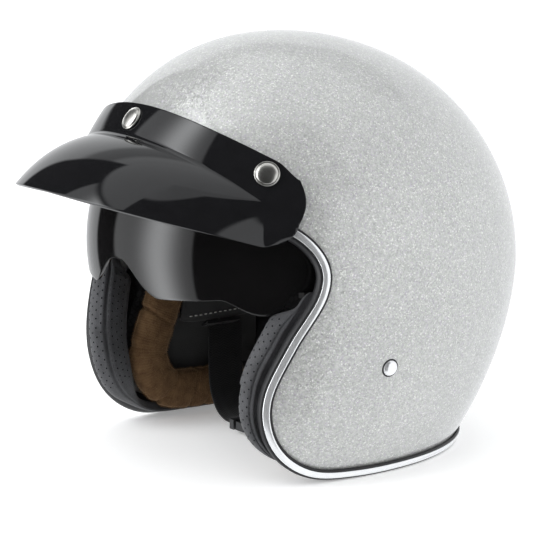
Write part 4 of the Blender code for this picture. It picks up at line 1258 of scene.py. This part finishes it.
def build_strap():
    left = [xz(TOP_X, STRAP_PIVOT_Z - 2), xz(73.2, 49.5), xz(70.0, 41.5), on_buckle(1.5, 0),
            on_buckle(9.5, 0)]
    right = [on_buckle(buckle_len - 3.0, 2.3), xz(29.5, 6.9), xz(22, 6.6), xz(0, 6.6), xz(-28, 6.6),
             xz(-37, 7.4), xz(-46, 10.8), xz(-54, 17.0), xz(-60, 24.0), xz(-65, 33.0),
             xz(-69.4, 42.0), xz(-73.0, 50.5), xz(-TOP_X, STRAP_PIVOT_Z - 2)]
    ribbon("strap_web_left", left, "chin_strap", "strap_left")
    ribbon("strap_web_right", right, "chin_strap", "strap_right")
    for sx, tag in ((1, "left"), (-1, "right")):
        rp = on_shell((sx * 123.0, RIVET_Y, RIVET_Z))
        rn = outward(rp)
        along = np.array([-rn[2], 0, rn[0]]) * sx
        hidden = [rp - rn * 6.9 + along * 9, rp - rn * 6.9 - along * 7, (sx * 107, 0, 55),
                  (sx * 94, 5, 54), (sx * 84, STRAP_Y, 57.5), (sx * 78.6, STRAP_Y, STRAP_PIVOT_Z)]
        ribbon("strap_web_anchor_" + tag, hidden, "helmet", "strap_anchor_" + tag)


def build_chin_pad():
    """Small stuffed sleeve round the strap under the chin."""
    low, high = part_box("chin_pad")
    centre = (low + high) / 2 / MM
    half = (high - low) / 2 / MM
    n, m = 60, 48
    rows = []
    for i in range(n + 1):
        f = -1 + 2 * i / n
        k = math.sqrt(max(0.001, 1 - abs(f) ** 7))
        row = []
        for j in range(m):
            a = 2 * math.pi * j / m
            y, z = spow(math.cos(a), 0.42), spow(math.sin(a), 0.62)
            x = centre[0] + f * half[0] * 0.98
            dent = 0.5 * bell(abs(y) - 0.80, 0.05) + 0.25 * noise.noise(Vector((x, y * 9, z)) * 0.2)
            row.append(np.array([x, centre[1] + CENTRE_Y + y * half[1] * (0.6 + 0.38 * k),
                                 centre[2] + z * half[2] * (k - 0.12 * dent) * 0.97]))
        rows.append(row)
    ob = grid("chin_pad_soft", rows, LEATHER, ring=True, caps=True, smooth=80)
    finish_piece(ob, "chin_strap", ["chin_pad"])


# ------------------------------------------------------------------ solids that stay
def dress(names, material):
    for name in names:
        node = frame["nodes"][name]
        node.data.materials.clear()
        node.data.materials.append(material)


build_shell()
build_trim()
build_peak()
build_snaps()
build_visor()
for side_tag, side_sign in (("left", 1), ("right", -1)):
    build_cover(side_tag, side_sign)
    build_roll(side_tag, side_sign)
    build_ear_panel(side_tag, side_sign)
    build_ear_skirt(side_tag, side_sign)
build_neck("neck_pad_soft", NECK_PAD, 17, 163, LEATHER, "neck_pad", (0.33, 0.67))
build_neck("neck_roll_soft", NECK_ROLL, 19, 161, PLUSH, "neck_roll", (0.5,))
build_lining()
build_rivets()
build_strap()
build_chin_pad()
dress(["eps_liner", "cheek_pad_base_left", "cheek_pad_base_right"], FOAM)
dress([n for n in frame["nodes"] if n.startswith(("pad_snap", "peak_socket", "shell_stud",
                                                   "visor_pivot_screw"))], NICKEL)
dress(["buckle_body", "buckle_pin"], NICKEL)
dress([n for n in frame["nodes"] if n.startswith(("visor_hub", "visor_pivot_bracket"))], PLASTIC)
dress(["buckle_lever", "ratchet_tongue", "strap_slider"], PLASTIC)
dress(["strap_keeper"], RUBBER)


# ------------------------------------------------------------------ studio
def soft_sun(name, azimuth, elevation, strength, angle=50):
    """Very soft light from a direction, left out of mirror reflections."""
    data = bpy.data.lights.new(name, "SUN")
    data.energy, data.angle = strength, math.radians(angle)
    ob = bpy.data.objects.new(name, data)
    bpy.context.scene.collection.objects.link(ob)
    ob.rotation_euler = direction(azimuth, elevation).to_track_quat("Z", "Y").to_euler()
    ob.visible_glossy = False


def window(wire, low, high, soft):
    return wire.between(low - soft, low + soft) * wire.between(high - soft, high + soft, 1.0, 0.0)


def build_world():
    """Studio round the object: softbox to the front left, white backdrop, white ceiling."""
    sky = bpy.data.worlds.new("studio")
    sky.use_nodes = True
    bpy.context.scene.world = sky
    w = Nodes(sky.node_tree)
    aim = w.node("ShaderNodeTexCoord", out="Generated")
    x, y, z = (w.node("ShaderNodeSeparateXYZ", None, aim, out=axis) for axis in "XYZ")
    to_degrees = 180 / math.pi
    azimuth = w.node("ShaderNodeMath", {"operation": "ARCTAN2"}, x, y * -1.0) * to_degrees
    elevation = z.maths("ARCSINE") * to_degrees
    glow = (((azimuth + 25.0) * (1 / 13.0)) ** 2.0 * -1.0).maths("EXPONENT")
    softbox = window(azimuth, -60, 1.5, 1.5) * window(elevation, -40, 57, 2) * (glow * 4.4 + 0.95)
    lid = elevation - azimuth.between(0, 10) * azimuth.between(95, 115, 1.0, 0.0) * 13.0
    ceiling = lid.between(58, 61) * azimuth.between(-10, 60, 1.05, 0.82)
    far_left = azimuth.between(-98, -95, 1.0, 0.0) * (1 - window(elevation, 36, 51, 3) * 0.5)
    low_left = azimuth.between(-82, -78, 1.0, 0.0) * elevation.between(8, 13, 1.0, 0.0)
    right_low = azimuth.between(87, 91) * elevation.between(29, 35, 1.15, 0.0)
    behind = azimuth.between(108, 116)
    table = elevation.between(-45, -38, 1.0, 0.0)
    light = softbox.maths("MAXIMUM", ceiling).maths("MAXIMUM", far_left).maths("MAXIMUM", low_left)
    light = light.maths("MAXIMUM", right_low).maths("MAXIMUM", behind).maths("MAXIMUM", table)
    nodes, links = sky.node_tree.nodes, sky.node_tree.links
    back = nodes["Background"]
    back.inputs["Color"].default_value = (0.97, 0.985, 1.0, 1)
    links.new((light + 0.035).socket, back.inputs["Strength"])
    seen = nodes.new("ShaderNodeBackground")
    seen.inputs["Color"].default_value = (1, 1, 1, 1)
    path, mix = nodes.new("ShaderNodeLightPath"), nodes.new("ShaderNodeMixShader")
    links.new(path.outputs["Is Camera Ray"], mix.inputs["Fac"])
    links.new(back.outputs["Background"], mix.inputs[1])
    links.new(seen.outputs["Background"], mix.inputs[2])
    links.new(mix.outputs["Shader"], nodes["World Output"].inputs["Surface"])


def build_studio():
    bm = bmesh.new()
    bmesh.ops.create_grid(bm, x_segments=1, y_segments=1, size=6.0)
    pale = Finish("pale_floor", Base_Color=(0.88, 0.88, 0.88), Roughness=0.9,
                  Emission_Color=(1.0, 1.0, 1.0), Emission_Strength=0.25)
    floor = new_object("floor", mesh_of(bm, "floor"), pale.material)
    floor.visible_glossy = False
    build_world()
    soft_sun("key", 62, 38, 0.92, 60)
    soft_sun("front", -8, 45, 1.25, 60)
    soft_sun("side", 115, 25, 0.22, 60)
    soft_sun("rear", -130, 35, 0.6, 70)


VIEW_AZIMUTH, VIEW_ELEVATION, VIEW_DISTANCE, AIM_Z = 54.886, 10.363, 1.453, 125.0


def build_camera():
    data = bpy.data.cameras.new("camera")
    data.lens, data.sensor_width = 154.35, 36.0
    data.shift_x, data.shift_y = -0.0041, -0.0606
    ob = bpy.data.objects.new("camera", data)
    bpy.context.scene.collection.objects.link(ob)
    back = direction(VIEW_AZIMUTH, VIEW_ELEVATION)
    ob.location = world((0, 0, AIM_Z)) + back * VIEW_DISTANCE
    ob.rotation_mode = "QUATERNION"
    ob.rotation_quaternion = (-back).to_track_quat("-Z", "Y")
    bpy.context.scene.camera = ob


build_studio()
build_camera()
bpy.context.scene.view_settings.view_transform = "Standard"
